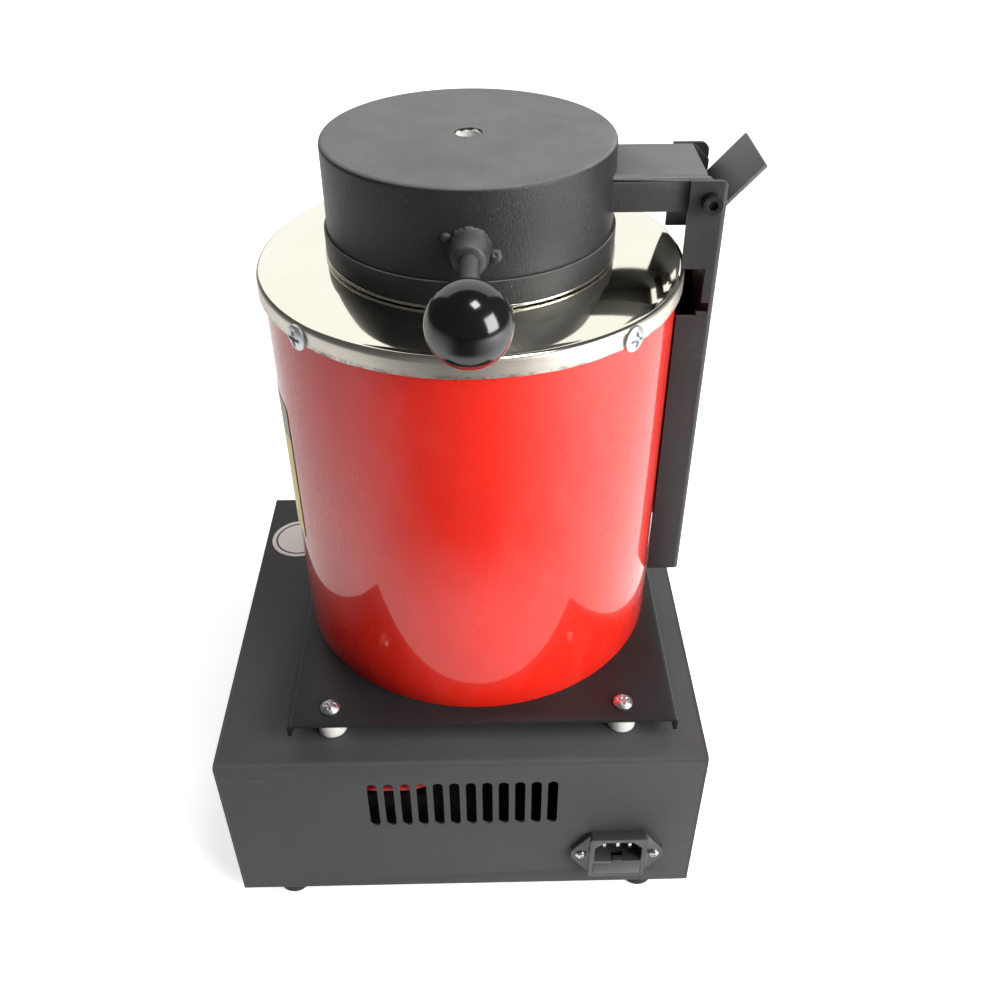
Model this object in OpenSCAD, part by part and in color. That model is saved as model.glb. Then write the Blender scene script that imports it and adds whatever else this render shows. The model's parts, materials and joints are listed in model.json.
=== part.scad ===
// Small electric crucible furnace for melting gold and silver.
// A control box stands on four rubber feet. On its top a steel plate sits on ceramic standoffs and
// carries the round furnace body. A lid with a ball handle swings up on an arm at the rear.
// The front panel faces -Y, the hinge is at +Y, the vents and the mains inlet are at +X, and +Z is up.
// The origin is on the bench, under the middle of the whole outline.

/* [Control box] */
// Width of the box, from its left side to its right side
box_width = 220; // [212:1:250]
// Depth of the box, from the front panel to the rear panel
box_depth = 250; // [240:1:290]
// Height of the box without its feet
box_height = 109; // [104:1:130]
// Thickness of the folded sheet that makes the top and the sides
box_sheet = 1.2; // [0.8:0.1:2]
// Outer radius of the folds
box_bend = 2.5; // [2.2:0.1:4]
// Thickness of the front, rear and bottom sheets
panel_sheet = 1.5; // [1:0.1:2.5]
// Width of the flange at the bottom of each side
bottom_flange = 26; // [24:1:34]
// Width of the lip at each end of the box
end_lip = 10; // [9:1:14]

/* [Vents] */
// Number of slots in each side
vent_count = 12; // [4:1:14]
// Distance from slot to slot
vent_pitch = 8.5; // [7.5:0.1:9]
// Width of a slot
vent_width = 5.3; // [3:0.1:6]
// Height of a slot
vent_height = 35; // [20:0.5:44]
// Height of the middle of the slots above the bottom of the box
vent_level = 75.5; // [60:0.5:78]

/* [Feet] */
// Diameter of a rubber foot
foot_diameter = 18; // [14:1:20]
// Height of a rubber foot
foot_height = 6; // [5:0.5:12]
// Distance from a foot's centre to the side of the box
foot_inset_side = 10; // [9.5:0.5:14]
// Distance from a foot's centre to the end of the box
foot_inset_end = 27; // [22:1:40]

/* [Temperature controller] */
// Side of the square front of the controller
controller_face = 72; // [71:1:76]
// Side of the square body behind the panel
controller_body = 67; // [66:0.5:69]
// Length of the body behind the panel
controller_depth = 65; // [50:1:70]
// Thickness of the rim in front of the panel
controller_rim = 7; // [6:0.5:10]
// Sideways place of the controller on the panel
controller_x = -35; // [-40:1:-30]
// Width and height of the window
window_width = 56; // [50:1:58]
window_height = 30; // [24:1:32]
// Width and height of a key
key_width = 10; // [8:0.5:11]
key_height = 6.5; // [5:0.5:8]
// Travel of a key
key_travel = 0.8; // [0.4:0.1:1]

/* [Power switch] */
// Width and height of the frame of the switch
switch_width = 25.5; // [24:0.5:28]
switch_height = 31; // [30:0.5:34]
// Sideways place of the switch on the panel
switch_x = 62; // [56:1:68]
// Tilt of the rocker to each side
rocker_tilt = 10; // [6:1:12]

/* [Mains inlet] */
// Place of the inlet on the right side, from the middle of the box towards the rear
inlet_y = 83; // [70:1:88]
// Height of the two screws above the bottom of the box
inlet_level = 32.5; // [28:0.5:36]
// Distance between the two screws
inlet_pitch = 40; // [39:0.5:42]
// Distance that the fuse drawer slides out
drawer_travel = 18; // [10:1:18]

/* [Mounting plate] */
// Distance from the plate's right edge to the right side of the box; its left edge is flush with the box
plate_inset = 14; // [12:0.5:16]
// Distance from the furnace body to the plate's edge at the front and rear
plate_end_margin = 3; // [2:0.5:6]
// Thickness of the plate
plate_sheet = 2; // [1.5:0.1:3]
// Height of the folded edges
plate_fold = 8; // [5:0.5:10]
// Height of a ceramic standoff
standoff_height = 12.5; // [11:0.5:20]
// Diameter of a ceramic standoff
standoff_diameter = 15; // [13:0.5:16]
// Distance from a standoff's centre to the side edge of the plate
standoff_inset_side = 11; // [9:0.5:12]
// Distance from a standoff's centre to the front or rear edge of the plate
standoff_inset_end = 24; // [20:0.5:28]

/* [Furnace body] */
// Place of the furnace axis, measured from the middle of the box
axis_x = -10; // [-11:0.5:-8]
axis_y = 9; // [4:1:12]
// Outer diameter of the red shell
shell_diameter = 192; // [186:1:193]
// Height of the red shell
shell_height = 204.5; // [195:0.5:240]
// Thickness of the red shell
shell_sheet = 1; // [0.8:0.1:1.5]
// Outer diameter of the heater muffle
muffle_outer = 104; // [100:1:110]
// Inner diameter of the heater muffle
muffle_inner = 88; // [84:1:90]
// Thickness of the fibre under the muffle
base_fibre_height = 30; // [26:1:40]
// Diameter of the heating wire
coil_wire = 2.4; // [2:0.1:3]
// Number of turns of the heating wire
coil_turns = 11.5; // [8.5:1:12.5]
// Outer diameter of the crucible
crucible_diameter = 72; // [50:1:74]
// Height of the crucible
crucible_height = 130; // [100:1:134]
// Wall of the crucible
crucible_wall = 9; // [6:0.5:14]
// Outer diameter of the ring in the mouth
mouth_outer = 120; // [112:1:124]
// Thickness of the steel cover
cover_sheet = 1; // [0.8:0.1:1.5]
// Rise of the cover from its rim to its mouth
cover_rise = 3.4; // [2:0.1:5]
// Height of the cover's edge
cover_edge = 9.7; // [9:0.1:12]
// Gap between the red shell and the cover's edge
cover_gap = 1.3; // [1:0.1:1.6]

/* [Lid] */
// Diameter of the lid
lid_diameter = 129; // [126:1:132]
// Height of the lid above its bottom plate
lid_height = 49.5; // [46:0.5:60]
// Thickness of the lid's sheet
lid_sheet = 1.5; // [1:0.1:2]
// Height of the band round the bottom of the lid
band_height = 11; // [8:0.5:14]
// Diameter of the plug under the lid
plug_diameter = 80; // [76:1:82]
// Diameter of the hole in the middle of the lid
vent_hole = 12; // [10.6:0.1:16]

/* [Hinge] */
// Distance from the furnace body to the hinge bolt
hinge_offset = 7; // [7:0.5:10]
// Depth of the hinge bolt below the top of the lid
hinge_drop = 22.2; // [20:0.1:24]
// Diameter of the hinge bolt
hinge_bolt_diameter = 5; // [4:0.1:6]
// Width of the lid arm
arm_width = 43; // [40:0.5:44]
// Height of the lid arm
arm_height = 15.5; // [14:0.5:17]
// Thickness of the arm's sheet
arm_sheet = 1.5; // [1:0.1:2]
// Width of the hinge post
post_width = 50; // [49:0.5:54]
// Thickness of the post's sheet
post_sheet = 2; // [1.5:0.1:2.4]
// Depth of the post's flanges
post_depth = 16.7; // [15:0.1:18]
// Height of the post's lower end above the mounting plate
post_lift = 30; // [20:1:40]
// Length of the stop plate
stop_length = 30.5; // [26:0.5:34]
// Slope of the stop plate with the lid closed
stop_slope = 48; // [44:1:52]
// Angle through which the lid opens
lid_opening = 100; // [96:1:104]

/* [Handle] */
// Distance from the lid axis to the middle of the ball
knob_reach = 127; // [110:1:140]
// Diameter of the ball
knob_diameter = 32; // [28:1:36]
// Diameter of the handle rod
rod_diameter = 8; // [6:0.5:10]
// Depth of the rod below the top of the lid
handle_drop = 24.2; // [20:0.2:28]

/* [Label and sticker] */
// Width of the blank label, measured round the shell
label_width = 84; // [60:1:100]
// Height of the blank label
label_height = 79; // [50:1:90]
// Height of the label's lower edge above the mounting plate
label_lift = 68; // [40:1:90]
// Diameter of the plain round sticker
sticker_diameter = 35; // [24:1:36]
// Distance from the sticker's centre to the left side of the box
sticker_inset_side = 42; // [36:1:60]
// Distance from the sticker's centre to the front of the box
sticker_inset_front = 21; // [19:1:24]

/* [Hidden] */
$fn = 64;

// Clearances: loose between pieces, close in a fit, and radial at a pivot
loose = 0.3;
close = 0.1;
pivot_gap = 0.05;
eps = 0.01;
// Length by which a cutter passes the face that it cuts
past = 5;

// Common fasteners: M5 and M3, radius of the shank, of the clearance hole and of the head
m5 = 2.5;
m5_hole = 2.75;
m5_head = 5;
m5_head_height = 3.6;
m5_nut_flats = 8;
m5_nut_height = 4;
m4 = 2;
m4_hole = 2.2;
m3 = 1.5;
m3_hole = 1.65;
m3_head = 2.8;
m3_head_height = 2;

// Levels above the bench
box_top = foot_height + box_height;
floor_top = foot_height + box_sheet + panel_sheet;
plate_top = box_top + standoff_height + plate_sheet;
disc_sheet = 1.5;
fibre_bottom = plate_top + disc_sheet;
muffle_bottom = fibre_bottom + base_fibre_height;
shell_top = plate_top + shell_height;
rim_level = shell_top + cover_sheet + 0.2;
cover_top = rim_level + cover_rise;
lid_bottom = cover_top + 0.5;
lid_plate_sheet = 1.5;
lid_floor = lid_bottom + lid_plate_sheet;
lid_top = lid_floor + lid_height;
hinge_level = lid_top - hinge_drop;
handle_level = lid_top - handle_drop;

// Radii about the furnace axis
shell_r = shell_diameter / 2;
shell_inner = shell_r - shell_sheet;
fibre_r = shell_inner - loose;
edge_r = shell_r + cover_gap + cover_sheet;
rim_bend = 3;
mouth_inner = muffle_inner / 2;
cover_hole = mouth_outer / 2 + 0.5;
lid_r = lid_diameter / 2;
band_sheet = 1.2;
band_r = lid_r + close + band_sheet;
lid_plate_r = band_r + 0.4;
mouth_level = lid_bottom - loose;

// Hinge post and arm, measured from the furnace axis
hinge_reach = shell_r + hinge_offset;
post_outer = hinge_reach + 7.3;
post_inner = post_outer - post_depth;
post_bottom = plate_top + post_lift;
post_top = hinge_level + 8.9;
ear_radius = 4;
ear_bottom = rim_level + 1.8;
neck_depth = 6;
slot_wall = post_sheet + 0.6;
step_depth = 9;
step_height = 2;
slot_top = rim_level - 15;
slot_bottom = slot_top - 5;
arm_top = hinge_level + 9.8;
arm_bottom = arm_top - arm_height;
arm_end = 7;
stop_near = 6.8;
stop_sheet = 2;
stop_start = -5;
// The web is cut down so that the stop plate meets its outer edge at the end of the swing
stop_turn = lid_opening - stop_slope + 0.4;
web_top = hinge_level - (stop_near + stop_sheet) / cos(stop_turn)
    - (post_outer - hinge_reach) * tan(stop_turn);
post_bolt_levels = [post_bottom + 40, post_bottom + 120];

// Reach of the whole part, which sets the origin
controller_y = -box_depth / 2 - controller_rim;
stop_tip = stop_start + stop_length;
reach_front = -controller_y + key_travel;
reach_rear = axis_y + hinge_reach + (stop_near + stop_sheet) * sin(stop_slope) + stop_tip * cos(stop_slope);
reach_right = axis_x + knob_reach + knob_diameter / 2;
mid_x = (reach_right - box_width / 2) / 2;
mid_y = (reach_rear - reach_front) / 2;

// Mounting plate and its standoffs
plate_x = -plate_inset / 2;
plate_y = axis_y + 2;
plate_length = box_width - plate_inset;
plate_width = shell_diameter + 2 * plate_end_margin;
standoff_y = axis_y - 1;
standoff_points = [for (i = [-1, 1], j = [-1, 1]) [
    plate_x + i * (plate_length / 2 - standoff_inset_side),
    standoff_y + j * (plate_width / 2 - standoff_inset_end)]];
disc_bolt_circle = shell_r - 24;
disc_bolt_angles = [45, 135, 225, 315];
cover_screw_angles = [43, 133, 223, 313];
cover_screw_level = rim_level - 6.5;
cover_screw_head = 5.7;
cover_screw_head_height = 2.5;
cover_screw_length = 7.5;

// Heating element: a coil from the rear to the front, with a rod under each end
coil_r = mouth_inner - loose - coil_wire / 2;
coil_bottom = muffle_bottom + 8;
coil_pitch = 11;
coil_top = coil_bottom + coil_turns * coil_pitch;
coil_steps = 16;
coil_count = coil_turns * coil_steps;
rod_r = 2;
rear_rod = [0, mouth_inner - loose - rod_r];
front_rod_r = (muffle_inner + muffle_outer) / 4;
front_rod = [0, -front_rod_r];
rod_end = box_top - 12;
sensor_level = muffle_bottom + 70;
sensor_r = 3;
sensor_lead = [-fibre_r + 8, 0];
sensor_lead_r = 2;
lead_points = [rear_rod, front_rod, sensor_lead];
bush_r = 5;
bush_collar_r = 7;
bush_collar = 3;
muffle_top = coil_top + 14;
crucible_lift = 12;

// Front panel
controller_z = box_height / 2 - 4.5;
switch_z = controller_z;
controller_cut = controller_body + 0.6;
front_wall = 3;
case_wall = 2;
board_depth = 16;
board_gap = 36;
rear_block = 9;
clamp_depth = 6;
key_row = -controller_face / 2 + 15;
key_gap = 14.5;
window_z = 11;
switch_cut_w = switch_width - 3;
switch_cut_h = switch_height - 3;
switch_rim = 2;
rocker_w = switch_width - 7;
rocker_half = (switch_height - 7.5) / 2;
rocker_rise = 5.5;
rocker_dip = 3.8;
rocker_pin = 1.5;
rocker_depth = rocker_half * sin(rocker_tilt) - rocker_rise * cos(rocker_tilt) + rocker_rise + 0.4;

// Inlet
inlet_rim = 3;
inlet_raise = 3;
inlet_tip = 5;
inlet_frame_w = 31;
inlet_frame_h = 33.5;
inlet_body_w = 30;
inlet_body_h = 32;
inlet_behind = 20;
socket_w = 25.6;
socket_h = 16.6;
socket_corner = 5;
socket_z = 6;
socket_depth = 17;
blade_w = 2;
blade_h = 4;
blade_end = -inlet_behind - 6;
blade_recess = [4.5, 2.5, 4.5];
blade_points = [[-7, socket_z - 1], [0, socket_z + 3], [7, socket_z - 1]];
drawer_w = 26;
drawer_h = 9.5;
drawer_z = -9.6;
tab_w = 5.4;
tab_rise = 3;
tab_depth = 6;
drawer_depth = drawer_travel + 1;
fuse_r = 2.6;
fuse_length = 20;

// Parts inside the box, measured from the middle of the box
heatsink_w = 60;
heatsink_l = 80;
heatsink_h = 40;
heatsink_x = -50;
heatsink_y = 50;
fin_count = 7;
fin = 2;
relay_w = 45;
relay_l = 58;
relay_h = 24;
block_w = 22;
block_l = 60;
block_h = 18;
block_x = 56;
block_y = -45;

// Middle lines of the wires, chosen by hand
wire_ref = unit([0.31, 0.52, -0.79]);
heater_wire_d = 3.6;
mains_wire_d = 3;
wire_lead = 8;
block_top = floor_top + block_h;
relay_top = floor_top + heatsink_h + relay_h;
block_posts = [for (i = [0:3]) [block_x, block_y + (i - 1.5) * 15, block_top]];
// The two straight points of a wire's end: against p, and a little way along the direction d
function wire_end(p, d) = [p + loose * d, p + wire_lead * d];
function relay_stud(i, j) = [heatsink_x + i * 12, heatsink_y + j * 22, relay_top];
rear_wire = concat(
    wire_end([axis_x + rear_rod[0], axis_y + rear_rod[1], rod_end], [0, 0, -1]),
    [[-16, 58, 89], [-28, 68, 93], [-38, 72, 91]],
    [relay_stud(1, 1) + [0, 0, wire_lead], relay_stud(1, 1) + [0, 0, loose]]);
front_wire = concat(
    wire_end([axis_x + front_rod[0], axis_y + front_rod[1], rod_end], [0, 0, -1]),
    [[2, -38, 93], [24, -32, 96], [54, -20, 98], [84, -12, 98], [100, -12, 94], [105.5, -22, 91],
        [105.5, -48, 91], [98, -58, 84], [78, -54, 62]],
    [block_posts[1] + [0, 0, 2 * wire_lead], block_posts[1] + [0, 0, loose]]);
inlet_wire = concat(
    wire_end([box_width / 2 + blade_end, inlet_y, foot_height + inlet_level]
        + [0, blade_points[2][0], blade_points[2][1]], [-1, 0, 0]),
    [[66, 78, 36], [66, 30, 28], [62, 0, 36]],
    [block_posts[3] + [0, 0, 2 * wire_lead], block_posts[3] + [0, 0, loose]]);
switch_wire = concat(
    wire_end([switch_x + 5, -box_depth / 2 + 30.6, foot_height + switch_z + 7], [0, 1, 0]),
    [[66, -80, 58]],
    [block_posts[0] + [0, 0, 2 * wire_lead], block_posts[0] + [0, 0, loose]]);

function unit(v) = v / norm(v);
// One pass that cuts the corners of a path
function cut_corners(p) = [
    p[0],
    for (i = [0:len(p) - 2]) each [0.75 * p[i] + 0.25 * p[i + 1], 0.25 * p[i] + 0.75 * p[i + 1]],
    p[len(p) - 1]];
function path_direction(p, i) = unit(p[min(i + 1, len(p) - 1)] - p[max(i - 1, 0)]);
// Points of a circle of radius r round c, square to the direction d
function ring_points(c, d, r, n) =
    let (a = unit(cross(d, wire_ref)), b = cross(d, a))
    [for (k = [0:n - 1]) c + r * (cos(360 * k / n) * a + sin(360 * k / n) * b)];
// Triangles of a closed tube with n sides and m rings
function tube_faces(n, m) = [
    for (i = [0:m - 2], k = [0:n - 1])
        let (a = i * n + k, b = i * n + (k + 1) % n)
        each [[a, a + n, b + n], [a, b + n, b]],
    for (k = [1:n - 2]) [0, k, k + 1],
    for (k = [1:n - 2]) [(m - 1) * n, (m - 1) * n + k + 1, (m - 1) * n + k]];

module tube(points, n) polyhedron(points = [for (r = points) each r], faces = tube_faces(n, len(points)));

module wire(route, d) {
    path = cut_corners(cut_corners(route));
    tube([for (i = [0:len(path) - 1]) ring_points(path[i], path_direction(path, i), d / 2, 8)], 8);
}

// Frames: the middle of the box, the furnace axis, the outsides of the box, and the hinge bolt
module placed() translate([-mid_x, -mid_y, 0]) children();
module on_axis(z = 0) placed() translate([axis_x, axis_y, z]) children();
module at_front(x, z) placed() translate([x, -box_depth / 2, foot_height + z]) rotate([90, 0, 0]) children();
module at_rear(x, z) placed() translate([x, box_depth / 2, foot_height + z]) rotate([90, 0, 180]) children();
module at_side(y, z) placed() translate([box_width / 2, y, foot_height + z]) rotate([90, 0, 90]) children();
module at_hinge() on_axis() translate([0, hinge_reach, hinge_level]) rotate([90, 0, 90]) children();

// Flat shapes
module round_rect(w, h, r) {
    square([w - 2 * r, h], center = true);
    square([w, h - 2 * r], center = true);
    for (i = [-1, 1], j = [-1, 1]) translate([i * (w / 2 - r), j * (h / 2 - r)]) circle(r);
}

module slot_shape(w, h) {
    square([w, h - w], center = true);
    for (j = [-1, 1]) translate([0, j * (h - w) / 2]) circle(w / 2);
}

module ring(outer, inner, height) difference() {
    cylinder(r = outer, h = height);
    translate([0, 0, -1]) cylinder(r = inner, h = height + 2);
}

// Section of a channel: a flat top at y = 0 and two edges folded down
module folded_sheet(width, depth, sheet, bend = 0.5) {
    tall = 3 * depth;
    difference() {
        translate([0, -tall / 2]) round_rect(width, tall, sheet + bend);
        translate([0, -tall / 2]) round_rect(width - 2 * sheet, tall - 2 * sheet, bend);
        translate([-width, -depth - tall]) square([2 * width, tall]);
    }
}

// Fasteners along +Z, with the underside of the head at zero. The dome's radius is the head's times roundness.
module pan_screw(r, head_r, head_h, length, roundness = 1.25) {
    dome = head_r * roundness;
    recess = head_r * 0.28;
    difference() {
        union() {
            rotate_extrude() intersection() {
                square([head_r, head_h]);
                translate([0, head_h - dome]) circle(dome);
            }
            translate([0, 0, -length]) cylinder(r = r, h = length + eps);
        }
        for (a = [0, 90]) rotate(a) translate([0, 0, head_h])
            cube([head_r * 1.2, recess, head_h], center = true);
    }
}

module hex_bolt(r, flats, head_h, length) {
    cylinder(r = flats / 2 / cos(30), h = head_h, $fn = 6);
    translate([0, 0, -length]) cylinder(r = r, h = length + eps);
}

module hex_nut(r, flats, height) difference() {
    cylinder(r = flats / 2 / cos(30), h = height, $fn = 6);
    translate([0, 0, -1]) cylinder(r = r + 0.02, h = height + 2);
}

// Control box
module box_outline(inset = 0) translate([0, box_height / 2])
    round_rect(box_width - 2 * inset, box_height - 2 * inset, box_bend - inset);

module along_depth(length) translate([0, 0, foot_height]) rotate([90, 0, 0])
    linear_extrude(height = length, center = true) children();

module foot_points() for (i = [-1, 1], j = [-1, 1])
    translate([i * (box_width / 2 - foot_inset_side), j * (box_depth / 2 - foot_inset_end), 0]) children();

module panel_points() for (i = [-1, 1], z = [16, box_height - 16])
    translate([i * (box_width / 2 - end_lip / 2 - 1), z, 0]) children();

module vent_slots() for (i = [0:vent_count - 1])
    translate([(i - (vent_count - 1) / 2) * vent_pitch, 0, 0]) linear_extrude(height = 6, center = true)
        slot_shape(vent_width, vent_height);

module box_shell() color([0.13, 0.13, 0.14]) difference() {
    placed() {
        length = box_depth - 2 * panel_sheet;
        difference() {
            along_depth(length) box_outline();
            along_depth(length + 2) box_outline(box_sheet);
            along_depth(length + 2) square([box_width - 2 * bottom_flange, 4 * box_bend], center = true);
        }
        for (j = [-1, 1]) translate([0, j * (length - box_sheet) / 2, 0]) difference() {
            along_depth(box_sheet) box_outline();
            along_depth(box_sheet + 2) translate([0, -1]) translate([-box_width / 2 + end_lip, 0])
                square([box_width - 2 * end_lip, box_height - end_lip + 1]);
        }
    }
    for (m = [0, 1]) placed() mirror([m, 0, 0]) translate([box_width / 2, 0, foot_height + vent_level])
        rotate([90, 0, 90]) vent_slots();
    at_side(inlet_y, inlet_level) cube([inlet_body_w + 1, inlet_body_h + 1, 8], center = true);
    at_side(inlet_y, inlet_level) for (i = [-1, 1]) translate([i * inlet_pitch / 2, 0, -5])
        cylinder(r = m3_hole, h = 10);
    placed() foot_points() cylinder(r = m3_hole, h = foot_height + past);
    placed() for (p = standoff_points) translate([p[0], p[1], box_top - past]) cylinder(r = m5_hole, h = 2 * past);
    for (p = lead_points) on_axis(box_top - past) translate(p) cylinder(r = bush_r + loose, h = 2 * past);
    at_front(0, 0) panel_points() translate([0, 0, -past]) cylinder(r = m3 + pivot_gap, h = past);
    at_rear(0, 0) panel_points() translate([0, 0, -past]) cylinder(r = m3 + pivot_gap, h = past);
}

module end_panel() difference() {
    translate([0, box_height / 2, -panel_sheet]) linear_extrude(height = panel_sheet)
        round_rect(box_width, box_height, box_bend);
    panel_points() translate([0, 0, -past]) cylinder(r = m3_hole, h = 2 * past);
}

module front_panel() color([0.15, 0.15, 0.16]) difference() {
    at_front(0, 0) end_panel();
    at_front(controller_x, controller_z) cube([controller_cut, controller_cut, 10], center = true);
    at_front(switch_x, switch_z) cube([switch_cut_w + 0.6, switch_cut_h + 0.6, 10], center = true);
}

module rear_panel() color([0.15, 0.15, 0.16]) at_rear(0, 0) end_panel();

module panel_screws() color([0.1, 0.1, 0.1]) {
    at_front(0, 0) panel_points() pan_screw(m3, m3_head, m3_head_height, 6);
    at_rear(0, 0) panel_points() pan_screw(m3, m3_head, m3_head_height, 6);
}

module base_plate() color([0.16, 0.16, 0.17]) placed() difference() {
    translate([0, 0, foot_height + box_sheet + panel_sheet / 2]) cube([
        box_width - 2 * (box_bend + loose), box_depth - 2 * (panel_sheet + box_sheet + loose), panel_sheet],
        center = true);
    foot_points() cylinder(r = m3_hole, h = floor_top + past);
}

module rubber_feet() color([0.05, 0.05, 0.05]) placed() foot_points() difference() {
    rotate_extrude() polygon([[0, 0], [foot_diameter / 2 - 1, 0], [foot_diameter / 2 - 0.2, 1],
        [foot_diameter / 2, foot_height], [0, foot_height]]);
    translate([0, 0, -1]) cylinder(r = m3_head + loose, h = foot_height - 1);
    cylinder(r = m3_hole, h = foot_height + 1);
}

module foot_screws() color([0.7, 0.7, 0.72]) placed() foot_points() {
    translate([0, 0, foot_height - 2]) rotate([180, 0, 0]) pan_screw(m3, m3_head, m3_head_height, 10);
    translate([0, 0, floor_top]) hex_nut(m3, 5.5, 2.4);
}

// Temperature controller
module key_points() for (i = [0:3]) translate([(i - 1.5) * key_gap, key_row, 0]) children();

module controller_case() color([0.08, 0.08, 0.09]) at_front(controller_x, controller_z) difference() {
    union() {
        linear_extrude(height = controller_rim) round_rect(controller_face, controller_face, 3);
        translate([0, 0, (controller_rim - controller_depth - eps) / 2])
            cube([controller_body, controller_body, controller_depth + controller_rim - eps], center = true);
    }
    hollow = controller_body - 2 * case_wall;
    translate([0, 0, controller_rim - front_wall - controller_depth])
        cube([hollow, hollow, 2 * controller_depth], center = true);
    translate([0, window_z, controller_rim]) cube([window_width, window_height, 3.2], center = true);
    translate([0, window_z, controller_rim]) cube([window_width - 4, window_height - 4, 20], center = true);
    key_points() translate([0, 0, controller_rim]) cube([key_width, key_height, 20], center = true);
}

module controller_window() color([0.18, 0.03, 0.03, 0.8]) at_front(controller_x, controller_z)
    translate([0, window_z, controller_rim - 0.8])
        cube([window_width - 0.2, window_height - 0.2, 1.4], center = true);

// Display board behind the front, two boards along the sides, and the terminal block that closes the back
module controller_board() color([0.1, 0.35, 0.2]) at_front(controller_x, controller_z) {
    side = controller_body - 2 * (case_wall + close);
    board_top = controller_rim - board_depth;
    display_top = controller_rim - 1.5 - loose;
    translate([0, 0, board_top - 0.8]) cube([side, side, 1.6], center = true);
    translate([0, window_z, (board_top + display_top) / 2 - eps])
        cube([window_width - 5, window_height - 5, display_top - board_top], center = true);
    key_points() translate([0, 0, board_top - eps]) cylinder(r = 1.75, h = 4);
    for (i = [-1, 1]) translate([i * board_gap / 2, 0, (board_top - controller_depth) / 2])
        cube([1.6, side - 6, controller_depth + board_top - 2], center = true);
    translate([0, 0, rear_block / 2 - controller_depth]) cube([side, side, rear_block], center = true);
}

module controller_clamp() color([0.1, 0.1, 0.1]) at_front(controller_x, controller_z)
    translate([0, 0, -panel_sheet - clamp_depth - close]) linear_extrude(height = clamp_depth) difference() {
        square(controller_body + 7, center = true);
        square(controller_body + 2 * close, center = true);
    }

module controller_key(i) color([0.55, 0.55, 0.58]) at_front(controller_x + (i - 1.5) * key_gap,
    controller_z + key_row) {
    wall_back = controller_rim - front_wall;
    stem_end = controller_rim - board_depth + 4 + key_travel + 0.2;
    translate([0, 0, wall_back - close]) linear_extrude(height = front_wall + key_travel + close)
        round_rect(key_width - 0.5, key_height - 0.5, 0.8);
    translate([0, 0, wall_back - close - 0.75]) cube([key_width + 2, key_height + 2, 1.5], center = true);
    translate([0, 0, stem_end]) cylinder(r = 1.5, h = wall_back - close - 1 - stem_end);
}

module key_set() controller_key(0);
module key_shift() controller_key(1);
module key_down() controller_key(2);
module key_up() controller_key(3);

// Power switch
module switch_housing() color([0.06, 0.06, 0.06]) at_front(switch_x, switch_z) difference() {
    union() {
        linear_extrude(height = switch_rim) round_rect(switch_width, switch_height, 1.5);
        translate([0, 0, -12 + eps]) cube([switch_cut_w, switch_cut_h, 24], center = true);
    }
    translate([0, 0, -4]) cube([rocker_w + 1, 2 * rocker_half + 1.6, 16], center = true);
    translate([0, 0, switch_rim - rocker_depth]) rotate([0, 90, 0])
        cylinder(r = rocker_pin + pivot_gap, h = rocker_w + 4, center = true);
    for (i = [-1, 1], j = [-1, 1]) translate([i * 5, j * 7, -22]) cube([1.2, 6.7, 12], center = true);
}

module rocker_side() intersection() {
    polygon([[-rocker_half, rocker_rise], [0, rocker_dip], [rocker_half, rocker_rise],
        [rocker_half, -1], [4, -3], [-4, -3], [-rocker_half, -1]]);
    circle(norm([rocker_half, rocker_rise]) - 0.6);
}

module switch_rocker() color([0.75, 0.05, 0.04]) at_front(switch_x, switch_z)
    translate([0, 0, switch_rim - rocker_depth]) rotate([rocker_tilt, 0, 0]) {
        rotate([90, 0, 90]) linear_extrude(height = rocker_w, center = true) rocker_side();
        rotate([0, 90, 0]) cylinder(r = rocker_pin, h = rocker_w + 3, center = true);
    }

// Blades of the inlet and of the switch
module contact_blades() color([0.8, 0.78, 0.7]) {
    at_front(switch_x, switch_z) for (i = [-1, 1], j = [-1, 1]) translate([i * 5, j * 7, -23.6])
        cube([0.8, 6.3, 14], center = true);
    at_side(inlet_y, inlet_level) for (i = [0:2]) {
        tip = inlet_rim + inlet_raise - blade_recess[i];
        translate([blade_points[i][0], blade_points[i][1], (tip + blade_end) / 2])
            cube([blade_w, blade_h, tip - blade_end], center = true);
    }
}

// Mains inlet with its fuse drawer
module inlet_flange() {
    polygon([[-inlet_pitch / 2 - inlet_tip, 3], [-inlet_frame_w / 2, 16], [inlet_frame_w / 2, 16],
        [inlet_pitch / 2 + inlet_tip, 3], [inlet_pitch / 2 + inlet_tip, -3], [inlet_frame_w / 2, -16],
        [-inlet_frame_w / 2, -16], [-inlet_pitch / 2 - inlet_tip, -3]]);
}

module socket_shape() {
    w = socket_w / 2;
    h = socket_h / 2;
    polygon([[-w, -h], [w, -h], [w, h - socket_corner], [w - socket_corner, h], [socket_corner - w, h],
        [-w, h - socket_corner]]);
}

module inlet_body() color([0.05, 0.05, 0.05]) at_side(inlet_y, inlet_level) difference() {
    front = inlet_rim + inlet_raise;
    union() {
        linear_extrude(height = inlet_rim) inlet_flange();
        linear_extrude(height = front) round_rect(inlet_frame_w, inlet_frame_h, 1.5);
        translate([0, 0, -inlet_behind / 2 + eps])
            cube([inlet_body_w, inlet_body_h, inlet_behind], center = true);
    }
    translate([0, socket_z, front - socket_depth]) linear_extrude(height = socket_depth + 1) socket_shape();
    translate([0, drawer_z, front - drawer_depth / 2])
        cube([drawer_w + 4 * close, drawer_h + 4 * close, drawer_depth + 1], center = true);
    translate([0, drawer_z + drawer_h / 2, front - tab_depth / 2])
        cube([tab_w + 2 * loose, 2 * tab_rise + 2 * loose, tab_depth + 2 * loose], center = true);
    for (i = [-1, 1]) translate([i * inlet_pitch / 2, 0, -1]) cylinder(r = m3_hole, h = 9);
    for (p = blade_points) translate(p)
        cube([blade_w + close, blade_h + close, 2 * (front - blade_end)], center = true);
}

module fuse_space() rotate([0, 90, 0]) cylinder(r = fuse_r + 0.2, h = fuse_length + 0.6, center = true);

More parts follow.
